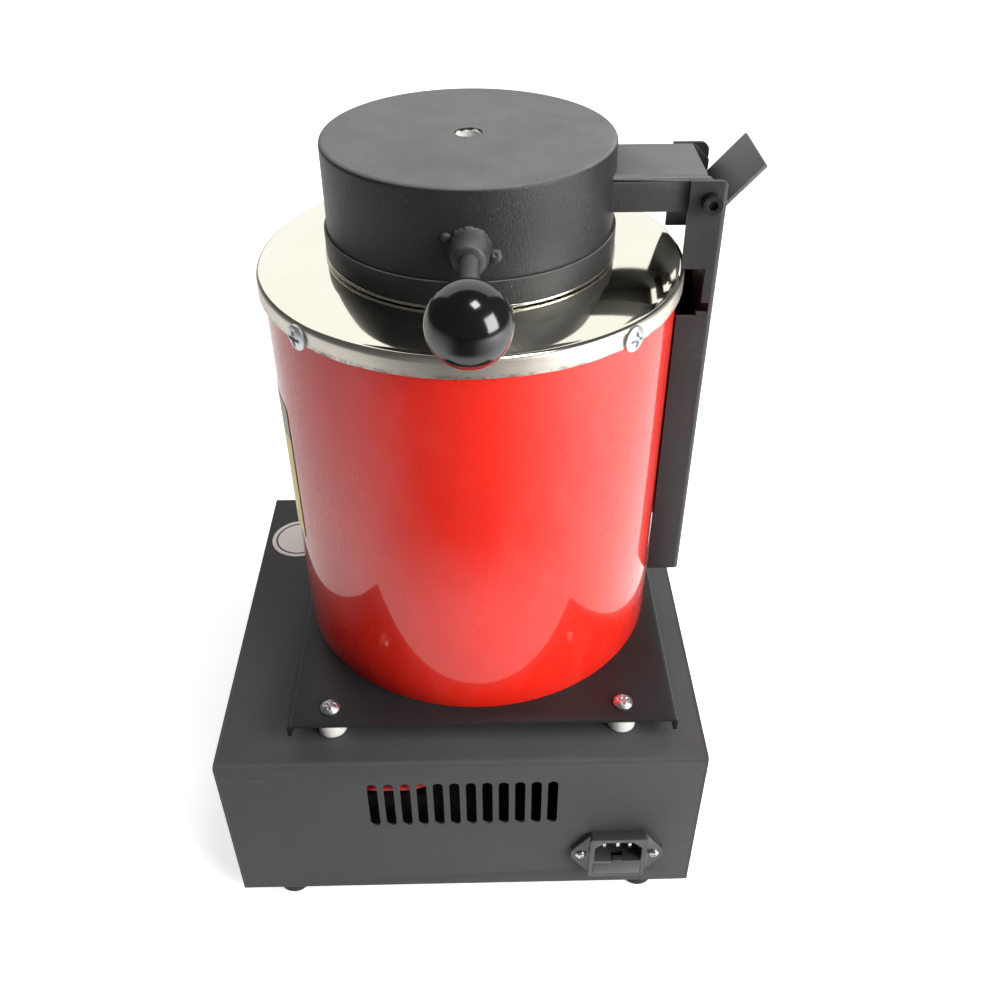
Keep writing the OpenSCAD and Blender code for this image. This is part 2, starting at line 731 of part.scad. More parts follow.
module fuse_drawer() color([0.07, 0.07, 0.07]) at_side(inlet_y, inlet_level) difference() {
    front = inlet_rim + inlet_raise;
    union() {
        translate([0, drawer_z, front - drawer_depth / 2 + 0.2])
            cube([drawer_w, drawer_h, drawer_depth - 0.4], center = true);
        translate([0, drawer_z + drawer_h / 2 + tab_rise / 2 - eps, front - tab_depth / 2])
            cube([tab_w, tab_rise, tab_depth], center = true);
    }
    for (z = [6, 13]) translate([0, drawer_z, front - z]) {
        fuse_space();
        translate([0, 4, 0]) cube([fuse_length + 0.6, 8, 2 * fuse_r + 0.4], center = true);
    }
}

module fuses() color([0.8, 0.8, 0.78]) at_side(inlet_y, inlet_level)
    for (z = [6, 13]) translate([0, drawer_z, inlet_rim + inlet_raise - z]) rotate([0, 90, 0])
        cylinder(r = fuse_r, h = fuse_length, center = true);

module inlet_screws() color([0.8, 0.8, 0.8]) at_side(inlet_y, inlet_level)
    for (i = [-1, 1]) translate([i * inlet_pitch / 2, 0, inlet_rim]) {
        pan_screw(m3, m3_head, m3_head_height, 9);
        translate([0, 0, -inlet_rim - box_sheet - 2.4]) hex_nut(m3, 5.5, 2.4);
    }

// Power parts inside the box
module relay_heatsink() color([0.72, 0.73, 0.75]) placed()
    translate([heatsink_x, heatsink_y, floor_top]) {
        fin_gap = (heatsink_w - fin) / (fin_count - 1);
        for (i = [0:fin_count - 1]) translate([-heatsink_w / 2 + i * fin_gap, -heatsink_l / 2, 0])
            cube([fin, heatsink_l, heatsink_h - 4]);
        translate([-heatsink_w / 2, -heatsink_l / 2, heatsink_h - 6]) cube([heatsink_w, heatsink_l, 6]);
    }

module relay() color([0.9, 0.9, 0.88]) placed() {
    stud = 3;
    translate([heatsink_x, heatsink_y, floor_top + heatsink_h]) linear_extrude(height = relay_h - stud)
        round_rect(relay_w, relay_l, 3);
    for (i = [-1, 1], j = [-1, 1]) translate(relay_stud(i, j) - [0, 0, stud + eps])
        cylinder(r = 4, h = stud + eps);
}

module terminal_block() color([0.16, 0.12, 0.1]) placed() {
    post = 5;
    translate([block_x - block_w / 2, block_y - block_l / 2, floor_top])
        cube([block_w, block_l, block_h - post]);
    for (p = block_posts) translate(p - [0, 0, post + eps]) cylinder(r = 4, h = post + eps);
}

module red_leads() color([0.8, 0.06, 0.04]) placed() {
    wire(rear_wire, heater_wire_d);
    wire(front_wire, heater_wire_d);
}

module mains_leads() color([0.1, 0.1, 0.1]) placed() {
    wire(inlet_wire, mains_wire_d);
    wire(switch_wire, mains_wire_d);
}

// Mounting plate on its standoffs
module at_standoffs(z) placed() for (p = standoff_points) translate([p[0], p[1], z]) children();
module at_disc_bolts(z) on_axis(z) for (a = disc_bolt_angles) rotate(a)
    translate([disc_bolt_circle, 0, 0]) children();

module standoffs() color([0.93, 0.92, 0.88]) at_standoffs(box_top)
    ring(standoff_diameter / 2, m5_hole, standoff_height);

module standoff_screws() color([0.72, 0.72, 0.7]) at_standoffs(plate_top)
    pan_screw(m5, m5_head, m5_head_height, plate_sheet + standoff_height + box_sheet + m5_nut_height + 2);

module mounting_plate() color([0.12, 0.12, 0.13]) difference() {
    placed() translate([plate_x, plate_y, plate_top]) rotate([90, 0, 90])
        linear_extrude(height = plate_length, center = true) folded_sheet(plate_width, plate_fold, plate_sheet);
    at_standoffs(plate_top - past) cylinder(r = m5_hole, h = 2 * past);
    at_disc_bolts(plate_top - past) cylinder(r = m5_hole, h = 2 * past);
    for (p = lead_points) on_axis(plate_top - past) translate(p) cylinder(r = bush_r + loose, h = 2 * past);
}

module lead_bushes() color([0.93, 0.92, 0.88]) on_axis() for (p = lead_points) translate(p) difference() {
    union() {
        translate([0, 0, box_top - 6]) cylinder(r = bush_r, h = fibre_bottom - box_top + 6);
        translate([0, 0, box_top]) cylinder(r = bush_collar_r, h = bush_collar);
    }
    translate([0, 0, box_top - 7]) cylinder(r = rod_r + close, h = 60);
}

module bottom_disc() color([0.6, 0.6, 0.6]) difference() {
    on_axis(plate_top) cylinder(r = shell_inner - close, h = disc_sheet);
    at_disc_bolts(plate_top - past) cylinder(r = m5_hole, h = 2 * past);
    for (p = lead_points) on_axis(plate_top - past) translate(p) cylinder(r = bush_r + loose, h = 2 * past);
}

// Hexagon bolts: four hold the furnace to its plate from below, two hold the hinge post
bolt_length = 20;
module at_post_bolts(r) on_axis() for (z = post_bolt_levels)
    translate([0, r, z]) rotate([-90, 0, 0]) children();

module hex_bolts() color([0.2, 0.2, 0.2]) {
    at_disc_bolts(plate_top - plate_sheet) rotate([180, 0, 0])
        hex_bolt(m5, m5_nut_flats, m5_head_height, bolt_length);
    at_post_bolts(post_outer) hex_bolt(m5, m5_nut_flats, m5_head_height, bolt_length);
}

module m5_nuts() color([0.7, 0.7, 0.68]) {
    at_standoffs(box_top - box_sheet - m5_nut_height) hex_nut(m5, m5_nut_flats, m5_nut_height);
    at_disc_bolts(fibre_bottom) hex_nut(m5, m5_nut_flats, m5_nut_height);
    at_post_bolts(shell_inner - m5_nut_height - 0.3) hex_nut(m5, m5_nut_flats, m5_nut_height);
    at_hinge() translate([0, 0, -post_width / 2 - m5_nut_height])
        hex_nut(hinge_bolt_diameter / 2, hinge_bolt_diameter + 3, m5_nut_height);
}

// Furnace body
module furnace_shell() color([0.82, 0.09, 0.06]) difference() {
    on_axis(plate_top) ring(shell_r, shell_inner, shell_height);
    at_post_bolts(shell_r - past) cylinder(r = m5_hole, h = 2 * past);
    at_cover_screws(shell_r) translate([0, 0, -8]) cylinder(r = m4 + pivot_gap, h = 16);
}

module base_fibre() color([0.95, 0.94, 0.9]) difference() {
    on_axis(fibre_bottom) cylinder(r = fibre_r, h = base_fibre_height);
    at_disc_bolts(fibre_bottom - 1) cylinder(r = m5_head + loose, h = bolt_length);
    for (p = lead_points) on_axis(fibre_bottom - 1) translate(p)
        cylinder(r = rod_r + loose, h = base_fibre_height + 2);
}

module wall_fibre() color([0.95, 0.94, 0.9]) difference() {
    on_axis() rotate_extrude() polygon([[muffle_outer / 2 + loose, muffle_bottom], [fibre_r, muffle_bottom],
        [fibre_r, shell_top - 4], [mouth_outer / 2 + loose, shell_top - 4],
        [mouth_outer / 2 + loose, muffle_top - close], [muffle_outer / 2 + loose, muffle_top - close]]);
    at_post_bolts(shell_inner - 10) cylinder(r = m5_head + loose, h = 12);
    at_cover_screws(shell_r) translate([0, 0, -8]) cylinder(r = m4 + loose, h = 10);
    on_axis(sensor_level) rotate([0, -90, 0]) cylinder(r = sensor_r + loose, h = -sensor_lead[0] + 4.6);
    on_axis(muffle_bottom - 1) translate(sensor_lead)
        cylinder(r = sensor_r + loose, h = sensor_level - muffle_bottom + sensor_r + 1);
}

module heater_muffle() color([0.9, 0.87, 0.8]) difference() {
    on_axis(muffle_bottom) ring(muffle_outer / 2, mouth_inner, muffle_top - muffle_bottom);
    on_axis(muffle_bottom - 1) translate(front_rod)
        cylinder(r = rod_r + loose, h = coil_top - muffle_bottom + rod_r + loose + 1);
    on_axis(coil_top) translate([0, -(front_rod_r + mouth_inner) / 2 + 1, 0])
        cube([2 * (rod_r + loose), front_rod_r - mouth_inner + 2, 2 * (rod_r + loose)], center = true);
    on_axis(sensor_level) rotate([0, -90, 0]) cylinder(r = sensor_r + loose, h = muffle_outer);
}

function coil_angle(i) = 90 + 360 * i / coil_steps;
function coil_point(i) = [coil_r * cos(coil_angle(i)), coil_r * sin(coil_angle(i)),
    coil_bottom + coil_pitch * i / coil_steps];

module heating_element() color([0.45, 0.42, 0.4]) on_axis() {
    sides = 6;
    tube([for (i = [0:coil_count])
        let (out = [cos(coil_angle(i)), sin(coil_angle(i)), 0])
        [for (k = [0:sides - 1])
            let (a = 360 * k / sides)
            coil_point(i) + coil_wire / 2 * (-cos(a) * out + [0, 0, sin(a)])]], sides);
}

// Least gap between two turns of the wire
coil_clear = min([for (i = [0:coil_count - coil_steps / 2], j = [i + coil_steps / 2:coil_count])
    norm(coil_point(j) - coil_point(i))]) - coil_wire;
echo(coil_clear = coil_clear);

module element_rods() color([0.5, 0.48, 0.46]) on_axis() {
    translate([rear_rod[0], rear_rod[1], rod_end])
        cylinder(r = rod_r, h = coil_bottom - coil_wire / 2 - loose - rod_end);
    translate([front_rod[0], front_rod[1], rod_end]) cylinder(r = rod_r, h = coil_top + rod_r - rod_end);
    translate([0, -front_rod_r, coil_top]) rotate([-90, 0, 0])
        cylinder(r = rod_r - 0.5, h = front_rod_r - coil_r - coil_wire / 2 - loose);
}

module thermocouple() color([0.85, 0.84, 0.8]) on_axis() {
    translate([-(crucible_diameter / 2 + 2.5), 0, sensor_level]) rotate([0, -90, 0])
        cylinder(r = sensor_r, h = -sensor_lead[0] - crucible_diameter / 2);
    translate([sensor_lead[0], sensor_lead[1], rod_end])
        cylinder(r = sensor_lead_r, h = sensor_level - rod_end);
}

module crucible_pad() color([0.85, 0.8, 0.7]) on_axis(muffle_bottom)
    cylinder(r = crucible_diameter / 2, h = crucible_lift);

module crucible() color([0.2, 0.2, 0.21]) on_axis(muffle_bottom + crucible_lift) {
    r = crucible_diameter / 2;
    difference() {
        cylinder(r = r, h = crucible_height);
        translate([0, 0, crucible_wall + 3]) cylinder(r = r - crucible_wall, h = crucible_height);
        translate([0, 0, crucible_height]) rotate([0, 80, 0]) cylinder(r = 5, h = r + 5);
    }
}

module mouth_ring() color([0.93, 0.9, 0.84]) on_axis(muffle_top)
    ring(mouth_outer / 2, mouth_inner, mouth_level - muffle_top);

// Steel cover: a shallow dome that falls to a rolled rim, with a straight edge below
module cover_outline() {
    bend_r = edge_r - rim_bend;
    steps = 12;
    span = bend_r - lid_plate_r;
    dome = [for (i = [0:steps])
        let (t = i / steps)
        [lid_plate_r + t * span, rim_level + cover_rise * (1 - t * t)]];
    polygon(concat(
        [[cover_hole, cover_top]], dome, bend_points(bend_r, rim_bend), [[edge_r, rim_level - cover_edge]],
        [[edge_r - cover_sheet, rim_level - cover_edge]],
        reversed(bend_points(bend_r, rim_bend - cover_sheet)),
        reversed([for (p = dome) p - [0, cover_sheet]]), [[cover_hole, cover_top - cover_sheet]]));
}

function reversed(list) = [for (i = [len(list) - 1:-1:0]) list[i]];
// Points of the rim's bend, of radius r, from the dome outwards
function bend_points(x, r) = [for (a = [75:-15:0])
    [x + r * cos(a), rim_level - rim_bend + r * sin(a)]];

module at_cover_screws(r) on_axis(cover_screw_level) for (a = cover_screw_angles)
    rotate(a) translate([r, 0, 0]) rotate([0, 90, 0]) children();

module top_cover() color([0.85, 0.84, 0.8]) difference() {
    on_axis() rotate_extrude() cover_outline();
    at_cover_screws(edge_r) translate([0, 0, -past]) cylinder(r = m4_hole, h = 2 * past);
}

module cover_screws() color([0.75, 0.75, 0.72]) at_cover_screws(edge_r)
    pan_screw(m4, cover_screw_head, cover_screw_head_height, cover_screw_length, 2.2);

module blank_label() color([0.85, 0.8, 0.45]) on_axis(plate_top + label_lift) {
    half = label_width / shell_r * 90 / PI;
    wide = 2 * shell_r;
    intersection() {
        ring(shell_r + 0.35, shell_r + 0.05, label_height);
        rotate(-90) linear_extrude(height = label_height)
            polygon([[0, 0], wide * [cos(half), -sin(half)], [2 * wide, 0], wide * [cos(half), sin(half)]]);
    }
}

module round_sticker() color([0.95, 0.95, 0.92]) placed()
    translate([sticker_inset_side - box_width / 2, sticker_inset_front - box_depth / 2, box_top])
    cylinder(r = sticker_diameter / 2, h = 0.25);

// Hinge post: an upright channel, open towards the shell, with its upper flanges as two ears
module post_outline() {
    square_from = post_inner - hinge_reach;
    width = post_depth;
    low = post_bottom - hinge_level;
    high = post_top - hinge_level;
    translate([square_from, low]) square([width, high - low - ear_radius]);
    translate([square_from, low]) square([width - ear_radius, high - low]);
    translate([square_from + width - ear_radius, high - ear_radius]) circle(ear_radius);
}

module post_cut(level, height, depth) on_axis(level) translate([-post_width, post_inner - post_depth, 0])
    cube([2 * post_width, post_depth + depth, height]);

module hinge_post() color([0.12, 0.12, 0.13]) difference() {
    intersection() {
        on_axis(post_bottom) linear_extrude(height = post_top - post_bottom) difference() {
            bend = post_sheet + 0.5;
            inside = post_width - 2 * post_sheet;
            translate([0, post_outer - post_width / 2]) round_rect(post_width, post_width, bend);
            translate([0, post_outer - post_width / 2]) round_rect(inside, inside, bend - post_sheet);
            translate([-post_width, post_inner - post_width]) square([2 * post_width, post_width]);
        }
        at_hinge() translate([0, 0, -post_width]) linear_extrude(height = 2 * post_width) post_outline();
    }
    post_cut(slot_top, ear_bottom - slot_top, post_depth - neck_depth);
    post_cut(slot_bottom, slot_top - slot_bottom + eps, post_depth - slot_wall);
    post_cut(slot_bottom - step_height, step_height + eps, step_depth);
    on_axis(web_top) translate([-post_width / 2 + post_sheet, post_inner, 0])
        cube([post_width - 2 * post_sheet, post_depth + past, post_top - web_top + past]);
    at_post_bolts(post_outer - past) cylinder(r = m5_hole, h = 2 * past);
    at_hinge() cylinder(r = hinge_bolt_diameter / 2 + pivot_gap, h = 2 * post_width, center = true);
}

module hinge_bolt() color([0.05, 0.05, 0.05]) at_hinge() difference() {
    r = hinge_bolt_diameter / 2;
    thread = m5_nut_height + 2;
    union() {
        translate([0, 0, -post_width / 2 - thread]) cylinder(r = r, h = post_width + thread + eps);
        translate([0, 0, post_width / 2]) cylinder(r = 1.7 * r, h = 2 * r);
    }
    translate([0, 0, post_width / 2 + r]) cylinder(r = 0.92 * r, h = r + 1, $fn = 6);
}

module hinge_washers() color([0.6, 0.6, 0.6]) at_hinge() for (j = [-1, 1]) {
    room = (post_width - 2 * post_sheet - arm_width) / 2;
    translate([0, 0, j * (arm_width + room) / 2 - (room - 2 * close) / 2])
        ring(2 * hinge_bolt_diameter / 2 + 0.4, hinge_bolt_diameter / 2 + pivot_gap, room - 2 * close);
}

// Lid
module lid_shell() color([0.2, 0.2, 0.21]) on_axis() difference() {
    round_r = 2;
    rotate_extrude() difference() {
        union() {
            translate([0, lid_floor]) square([lid_r, lid_height - round_r]);
            translate([0, lid_floor]) square([lid_r - round_r, lid_height]);
            translate([lid_r - round_r, lid_top - round_r]) circle(round_r);
        }
        translate([-1, lid_floor - 1]) square([lid_r - lid_sheet + 1, lid_height - lid_sheet + 1]);
    }
    translate([0, 0, lid_top - 10]) cylinder(r = vent_hole / 2, h = 20);
}

module lid_band() color([0.16, 0.16, 0.17]) on_axis(lid_floor) ring(band_r, lid_r + close, band_height);

module lid_plate() color([0.85, 0.84, 0.8]) on_axis(lid_bottom)
    ring(lid_plate_r, plug_diameter / 2 + loose, lid_plate_sheet);

module lid_fibre() color([0.96, 0.95, 0.92]) on_axis() difference() {
    rotate_extrude() polygon([[0, mouth_level - 6], [plug_diameter / 2, mouth_level - 6],
        [plug_diameter / 2, lid_floor], [lid_r - lid_sheet - loose, lid_floor],
        [lid_r - lid_sheet - loose, lid_top - lid_sheet], [0, lid_top - lid_sheet]]);
    translate([0, 0, mouth_level - 10]) cylinder(r = vent_hole / 2 - 0.4, h = lid_height + 30);
}

module arm_outline() {
    high = arm_top - hinge_level;
    low = arm_bottom - hinge_level;
    // Point of the slanted end at height z, where the stop plate is welded
    slant = function (z) (stop_near + z * cos(stop_slope)) / sin(stop_slope);
    end_low = (arm_end * sin(stop_slope) - stop_near) / cos(stop_slope);
    polygon([[lid_r / 2 - hinge_reach, low], [slant(low), low], [arm_end, end_low], [arm_end, 2], [-1, high],
        [lid_r / 2 - hinge_reach, high]]);
}

module lid_arm() color([0.2, 0.2, 0.21]) difference() {
    intersection() {
        at_hinge() translate([0, 0, -arm_width]) linear_extrude(height = 2 * arm_width) arm_outline();
        on_axis(arm_top) rotate([-90, 0, 0]) mirror([0, 1, 0]) linear_extrude(height = hinge_reach + 20)
            folded_sheet(arm_width, arm_height + past, arm_sheet, arm_sheet);
    }
    slot = arm_width - 2 * arm_sheet;
    on_axis(hinge_level) translate([-slot / 2, hinge_reach - 1.5, 0]) cube([slot, 20, 20]);
    on_axis(lid_floor - 5) cylinder(r = lid_r + 0.02, h = lid_height + 10);
    at_hinge() cylinder(r = hinge_bolt_diameter / 2 + pivot_gap, h = 2 * arm_width, center = true);
}

module lid_stop() color([0.2, 0.2, 0.21]) at_hinge() rotate(stop_slope)
    translate([stop_start, -stop_near - stop_sheet, -arm_width / 2 + arm_sheet])
        cube([stop_length, stop_sheet, arm_width - 2 * arm_sheet]);

// Handle
module at_handle() on_axis(handle_level) rotate([0, 90, 0]) children();
boss_length = 14;
boss_r = 8;

module handle_boss() color([0.16, 0.16, 0.17]) difference() {
    at_handle() {
        translate([0, 0, lid_r - 4]) cylinder(r = boss_r, h = boss_length + 4);
        translate([3.6, 9.6, lid_r - 1]) sphere(r = 2.7);
        translate([-4.2, -9, lid_r - 1]) sphere(r = 2.4);
    }
    on_axis(lid_floor) cylinder(r = lid_r + 0.02, h = lid_height);
    at_handle() cylinder(r = rod_diameter / 2 + pivot_gap, h = knob_reach);
}

module handle_rod() color([0.16, 0.16, 0.17]) at_handle()
    translate([0, 0, lid_r + 0.1]) cylinder(r = rod_diameter / 2, h = knob_reach - lid_r);

module ball_knob() color([0.03, 0.03, 0.03]) at_handle() translate([0, 0, knob_reach]) difference() {
    r = knob_diameter / 2;
    sphere(r = r, $fn = 96);
    translate([0, 0, -2 * r + 1.5]) cube([2 * r, 2 * r, 2 * r], center = true);
    translate([0, 0, -2 * r]) cylinder(r = rod_diameter / 2 + pivot_gap, h = 2 * r + 1);
}

box_shell();
front_panel();
rear_panel();
panel_screws();
base_plate();
rubber_feet();
foot_screws();
controller_case();
controller_window();
controller_board();
controller_clamp();
key_set();
key_shift();
key_down();
key_up();
switch_housing();
switch_rocker();
contact_blades();
inlet_body();
fuse_drawer();
fuses();
inlet_screws();
relay_heatsink();
relay();
terminal_block();
red_leads();
mains_leads();
standoffs();
standoff_screws();
mounting_plate();
bottom_disc();
hex_bolts();
m5_nuts();
lead_bushes();
furnace_shell();
base_fibre();
wall_fibre();
heater_muffle();
heating_element();
element_rods();
thermocouple();
crucible_pad();
crucible();
mouth_ring();
top_cover();
cover_screws();
blank_label();
round_sticker();
hinge_post();
hinge_bolt();
hinge_washers();
lid_shell();
lid_band();
lid_plate();
lid_fibre();
lid_arm();
lid_stop();
handle_boss();
handle_rod();
ball_knob();
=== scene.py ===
"""Electric crucible furnace for melting gold and silver, standing on a pale studio floor.

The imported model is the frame. Pieces that catch the light are made again here as smooth surfaces, the rest
are softened copies of their solids, and every piece gets a procedural finish.
Sizes are in millimetres, from the middle of the box or from the furnace axis, and become metres last.
"""
import json
import math
import bpy
import bmesh
import numpy as np
from mathutils import Matrix, Vector


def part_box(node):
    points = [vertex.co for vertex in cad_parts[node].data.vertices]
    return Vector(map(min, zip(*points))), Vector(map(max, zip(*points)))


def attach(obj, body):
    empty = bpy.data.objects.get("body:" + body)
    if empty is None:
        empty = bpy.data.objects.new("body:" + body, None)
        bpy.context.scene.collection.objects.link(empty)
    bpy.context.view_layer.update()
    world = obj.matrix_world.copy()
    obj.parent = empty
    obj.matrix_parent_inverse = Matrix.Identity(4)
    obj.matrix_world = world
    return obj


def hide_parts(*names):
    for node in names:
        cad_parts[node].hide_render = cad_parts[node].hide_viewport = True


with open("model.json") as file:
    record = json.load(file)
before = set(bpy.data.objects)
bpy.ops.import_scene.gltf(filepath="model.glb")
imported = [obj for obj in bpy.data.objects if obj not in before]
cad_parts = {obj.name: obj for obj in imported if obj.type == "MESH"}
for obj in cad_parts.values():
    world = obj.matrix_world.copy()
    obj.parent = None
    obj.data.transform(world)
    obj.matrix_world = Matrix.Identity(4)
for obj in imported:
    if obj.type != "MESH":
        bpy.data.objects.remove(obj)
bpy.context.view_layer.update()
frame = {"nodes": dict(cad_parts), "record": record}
NODES = frame["nodes"]
BODIES = frame["record"]["behaviour"]["bodies"]
BODY_OF = {node: body for body, members in BODIES.items() for node in members}
MM = 0.001


def middle(node):
    """The middle of a node's box, in millimetres."""
    low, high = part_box(node)
    return (np.array(low) + np.array(high)) / 2 / MM


def span(node):
    """The lowest and the highest level of a node, in millimetres."""
    low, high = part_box(node)
    return low.z / MM, high.z / MM


# The middle of the box, the furnace axis a little beside it, and the sizes and places of main pieces
BOX = middle("box_shell")
AXIS = BOX + [-10, 9, 0]
BOX_DEPTH = 250
BOX_WIDTH = 220
SHELL_R = 96
LID_R = 64.5
LID_LOW, LID_HIGH = span("lid_shell")
HANDLE_Z = middle("handle_rod")[2]
HANDLE_ROD_R = 4
KNOB_R = 16
KNOB_REACH = 127
CONTROLLER_X, _, CONTROLLER_Z = middle("controller_case") - [BOX[0], 0, 0]
SWITCH_X, _, SWITCH_Z = middle("switch_housing") - [BOX[0], 0, 0]
rng = np.random.default_rng(7)


def from_box(points):
    """Points in millimetres from the middle of the box, and from the bench, as metres in the row frame."""
    return (np.asarray(points, float) + [BOX[0], BOX[1], 0]) * MM


def from_axis(points):
    """The same for points measured from the furnace axis."""
    return (np.asarray(points, float) + [AXIS[0], AXIS[1], 0]) * MM


# Meshes
def cleaned(mesh):
    """Merges points that coincide, as at poles, and turns the faces of the closed shell outwards."""
    work = bmesh.new()
    work.from_mesh(mesh)
    bmesh.ops.remove_doubles(work, verts=work.verts, dist=1e-6)
    bmesh.ops.dissolve_degenerate(work, edges=work.edges, dist=1e-7)
    bmesh.ops.recalc_face_normals(work, faces=work.faces)
    work.to_mesh(mesh)
    work.free()
    return mesh


def skin(name, grid, close_rows=True, close_columns=True):
    """Faces between the neighbouring points of a grid.
    A closed direction joins its last points to its first."""
    rows, columns = grid.shape[:2]
    i = np.arange(rows if close_rows else rows - 1)[:, None]
    j = np.arange(columns if close_columns else columns - 1)[None, :]
    i_next, j_next = (i + 1) % rows, (j + 1) % columns
    corners = [i * columns + j, i_next * columns + j, i_next * columns + j_next, i * columns + j_next]
    faces = np.stack(np.broadcast_arrays(*corners), -1).reshape(-1, 4)
    mesh = bpy.data.meshes.new(name)
    mesh.from_pydata(grid.reshape(-1, 3).tolist(), [], faces.tolist())
    return cleaned(mesh)


def joined(name, meshes):
    """One mesh from several."""
    work = bmesh.new()
    for mesh in meshes:
        work.from_mesh(mesh)
        bpy.data.meshes.remove(mesh)
    result = bpy.data.meshes.new(name)
    work.to_mesh(result)
    work.free()
    return result


def softened(corners, radius, steps=4, fixed_ends=False):
    """A profile whose corners are curves: (1-t)^2 a + 2t(1-t) c + t^2 b.
    Points a and b lie on the two sides of the corner c, radius away from it but not past a side's middle."""
    corners = np.asarray(corners, float)
    back = np.roll(corners, 1, 0) - corners
    ahead = np.roll(corners, -1, 0) - corners
    back_length = np.linalg.norm(back, axis=1)
    ahead_length = np.linalg.norm(ahead, axis=1)
    reach = np.minimum(radius, 0.48 * np.minimum(back_length, ahead_length))
    if fixed_ends:
        reach[[0, -1]] = 0
    a = corners + back * (reach / back_length)[:, None]
    b = corners + ahead * (reach / ahead_length)[:, None]
    t = np.linspace(0, 1, steps + 1)[:, None, None]
    curve = (1 - t) ** 2 * a + 2 * t * (1 - t) * corners + t ** 2 * b
    return curve.transpose(1, 0, 2).reshape(-1, curve.shape[-1])


def turned(profile, segments=160):
    """Points of a profile of (radius, height) turned about the Z axis: (r cos a, r sin a, h)."""
    profile = np.asarray(profile, float)
    a = np.linspace(0, 2 * np.pi, segments, endpoint=False)
    r, h = profile[:, 0, None], profile[:, 1, None]
    return np.stack([r * np.cos(a), r * np.sin(a), h + 0 * a], -1)


def polar(points):
    """The radius and the angle of points about the Z axis."""
    x, y = points[..., 0], points[..., 1]
    return np.hypot(x, y), np.arctan2(y, x)


def aimed(points, origin, direction, up=(0, 0, 1)):
    """Points whose own Z axis is turned into direction, then moved to origin. Their Y axis stays near up."""
    z = np.asarray(direction, float) / np.linalg.norm(direction)
    x = np.cross(up, z)
    x /= np.linalg.norm(x)
    y = np.cross(z, x)
    return points @ np.stack([x, y, z]) + np.asarray(origin, float)


def smoothed(path, rounds=3):
    """A path with its corners cut: each side gives its points at one quarter and three quarters."""
    path = np.asarray(path, float)
    for _ in range(rounds):
        quarter = 0.75 * path[:-1] + 0.25 * path[1:]
        far = 0.25 * path[:-1] + 0.75 * path[1:]
        path = np.concatenate([path[:1], np.stack([quarter, far], 1).reshape(-1, 3), path[-1:]])
    return path


def tube(name, path, radius, sides=16, reference=(0.31, 0.52, -0.79)):
    """A round tube on a path: centre + radius (cos a s + sin a t), with s and t square to the path."""
    path = np.asarray(path, float)
    direction = np.gradient(path, axis=0)
    direction /= np.linalg.norm(direction, axis=1)[:, None]
    s = np.cross(direction, reference)
    s /= np.linalg.norm(s, axis=1)[:, None]
    t = np.cross(direction, s)
    a = np.linspace(0, 2 * np.pi, sides, endpoint=False)[None, :, None]
    rings = path[:, None] + radius * (np.cos(a) * s[:, None] + np.sin(a) * t[:, None])
    ends = [np.repeat(path[k][None, None], sides, 1) for k in (0, -1)]
    return skin(name, np.concatenate([ends[0], rings, ends[1]]), close_rows=False)


def stacked(levels):
    """A grid of flat rings, each put at its own level."""
    return np.stack([np.column_stack([ring, np.full(len(ring), z)]) for ring, z in levels])


def prism(name, outline, low, high, rounding=0.15):
    """A flat shape given its thickness.
    Rings of the outline are drawn in by rounding at both faces, and fans close them."""
    outline = np.asarray(outline, float)
    centre = outline.mean(0)
    spread = np.linalg.norm(outline - centre, axis=1).max()
    inner = centre + (outline - centre) * (1 - rounding / spread)
    point = np.repeat(centre[None], len(outline), 0)
    levels = [(point, low), (inner, low), (outline, low + rounding),
              (outline, high - rounding), (inner, high), (point, high)]
    return skin(name, stacked(levels), close_rows=False)


def moved(mesh, place):
    """The mesh with its points put through a function that takes an array of points."""
    points = np.array([vertex.co for vertex in mesh.vertices])
    mesh.vertices.foreach_set("co", place(points).ravel())
    return mesh


def show(name, mesh, body, material, sharp=34):
    """Makes the mesh a piece of the object that rides on a body."""
    piece = bpy.data.objects.new(name, mesh)
    bpy.context.scene.collection.objects.link(piece)
    mesh.materials.clear()
    mesh.materials.append(material)
    mesh.shade_smooth()
    mesh.set_sharp_from_angle(angle=math.radians(sharp))
    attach(piece, body)
    return piece


def stand_in(name, mesh, node, material, sharp=34):
    """A piece that stands for a CAD node."""
    piece = show(name, mesh, BODY_OF[node], material, sharp)
    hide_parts(node)


def softened_copy(node, material, rounding):
    """A copy of a CAD node with its triangles merged, its flat areas joined and its long edges rounded."""
    work = bmesh.new()
    work.from_mesh(NODES[node].data)
    bmesh.ops.remove_doubles(work, verts=work.verts, dist=1e-6)
    bmesh.ops.dissolve_limit(work, angle_limit=math.radians(0.4), verts=work.verts, edges=work.edges)
    if rounding:
        edges = [e for e in work.edges if len(e.link_faces) == 2 and e.calc_length() > 4 * rounding * MM
                 and e.calc_face_angle() > math.radians(50)]
        bmesh.ops.bevel(work, geom=edges, offset=rounding * MM, segments=2, profile=0.5, affect="EDGES",
                        clamp_overlap=True)
    mesh = bpy.data.meshes.new(node + "_soft")
    work.to_mesh(mesh)
    work.free()
    stand_in(node + "_soft", mesh, node, material)


# Shader building blocks
def add(kind, **inputs):
    """A shader node with its inputs set by name, or by position where the name starts with 'in'.
    It goes into the tree of the sockets that are linked to it."""
    tree = next(value.id_data for value in inputs.values() if isinstance(value, bpy.types.NodeSocket))
    node = tree.nodes.new("ShaderNode" + kind)
    for key, value in inputs.items():
        if key.startswith("in") and key[2:].isdigit():
            socket = node.inputs[int(key[2:])]
        elif hasattr(node, key):
            setattr(node, key, value)
            continue
        else:
            socket = node.inputs[key.replace("_", " ")]
        if isinstance(value, bpy.types.NodeSocket):
            tree.links.new(value, socket)
        else:
            socket.default_value = value
    return node


def maths(operation, a, b=0.0, clamp=False):
    """The result of a Math node."""
    return add("Math", operation=operation, use_clamp=clamp, in0=a, in1=b).outputs[0]


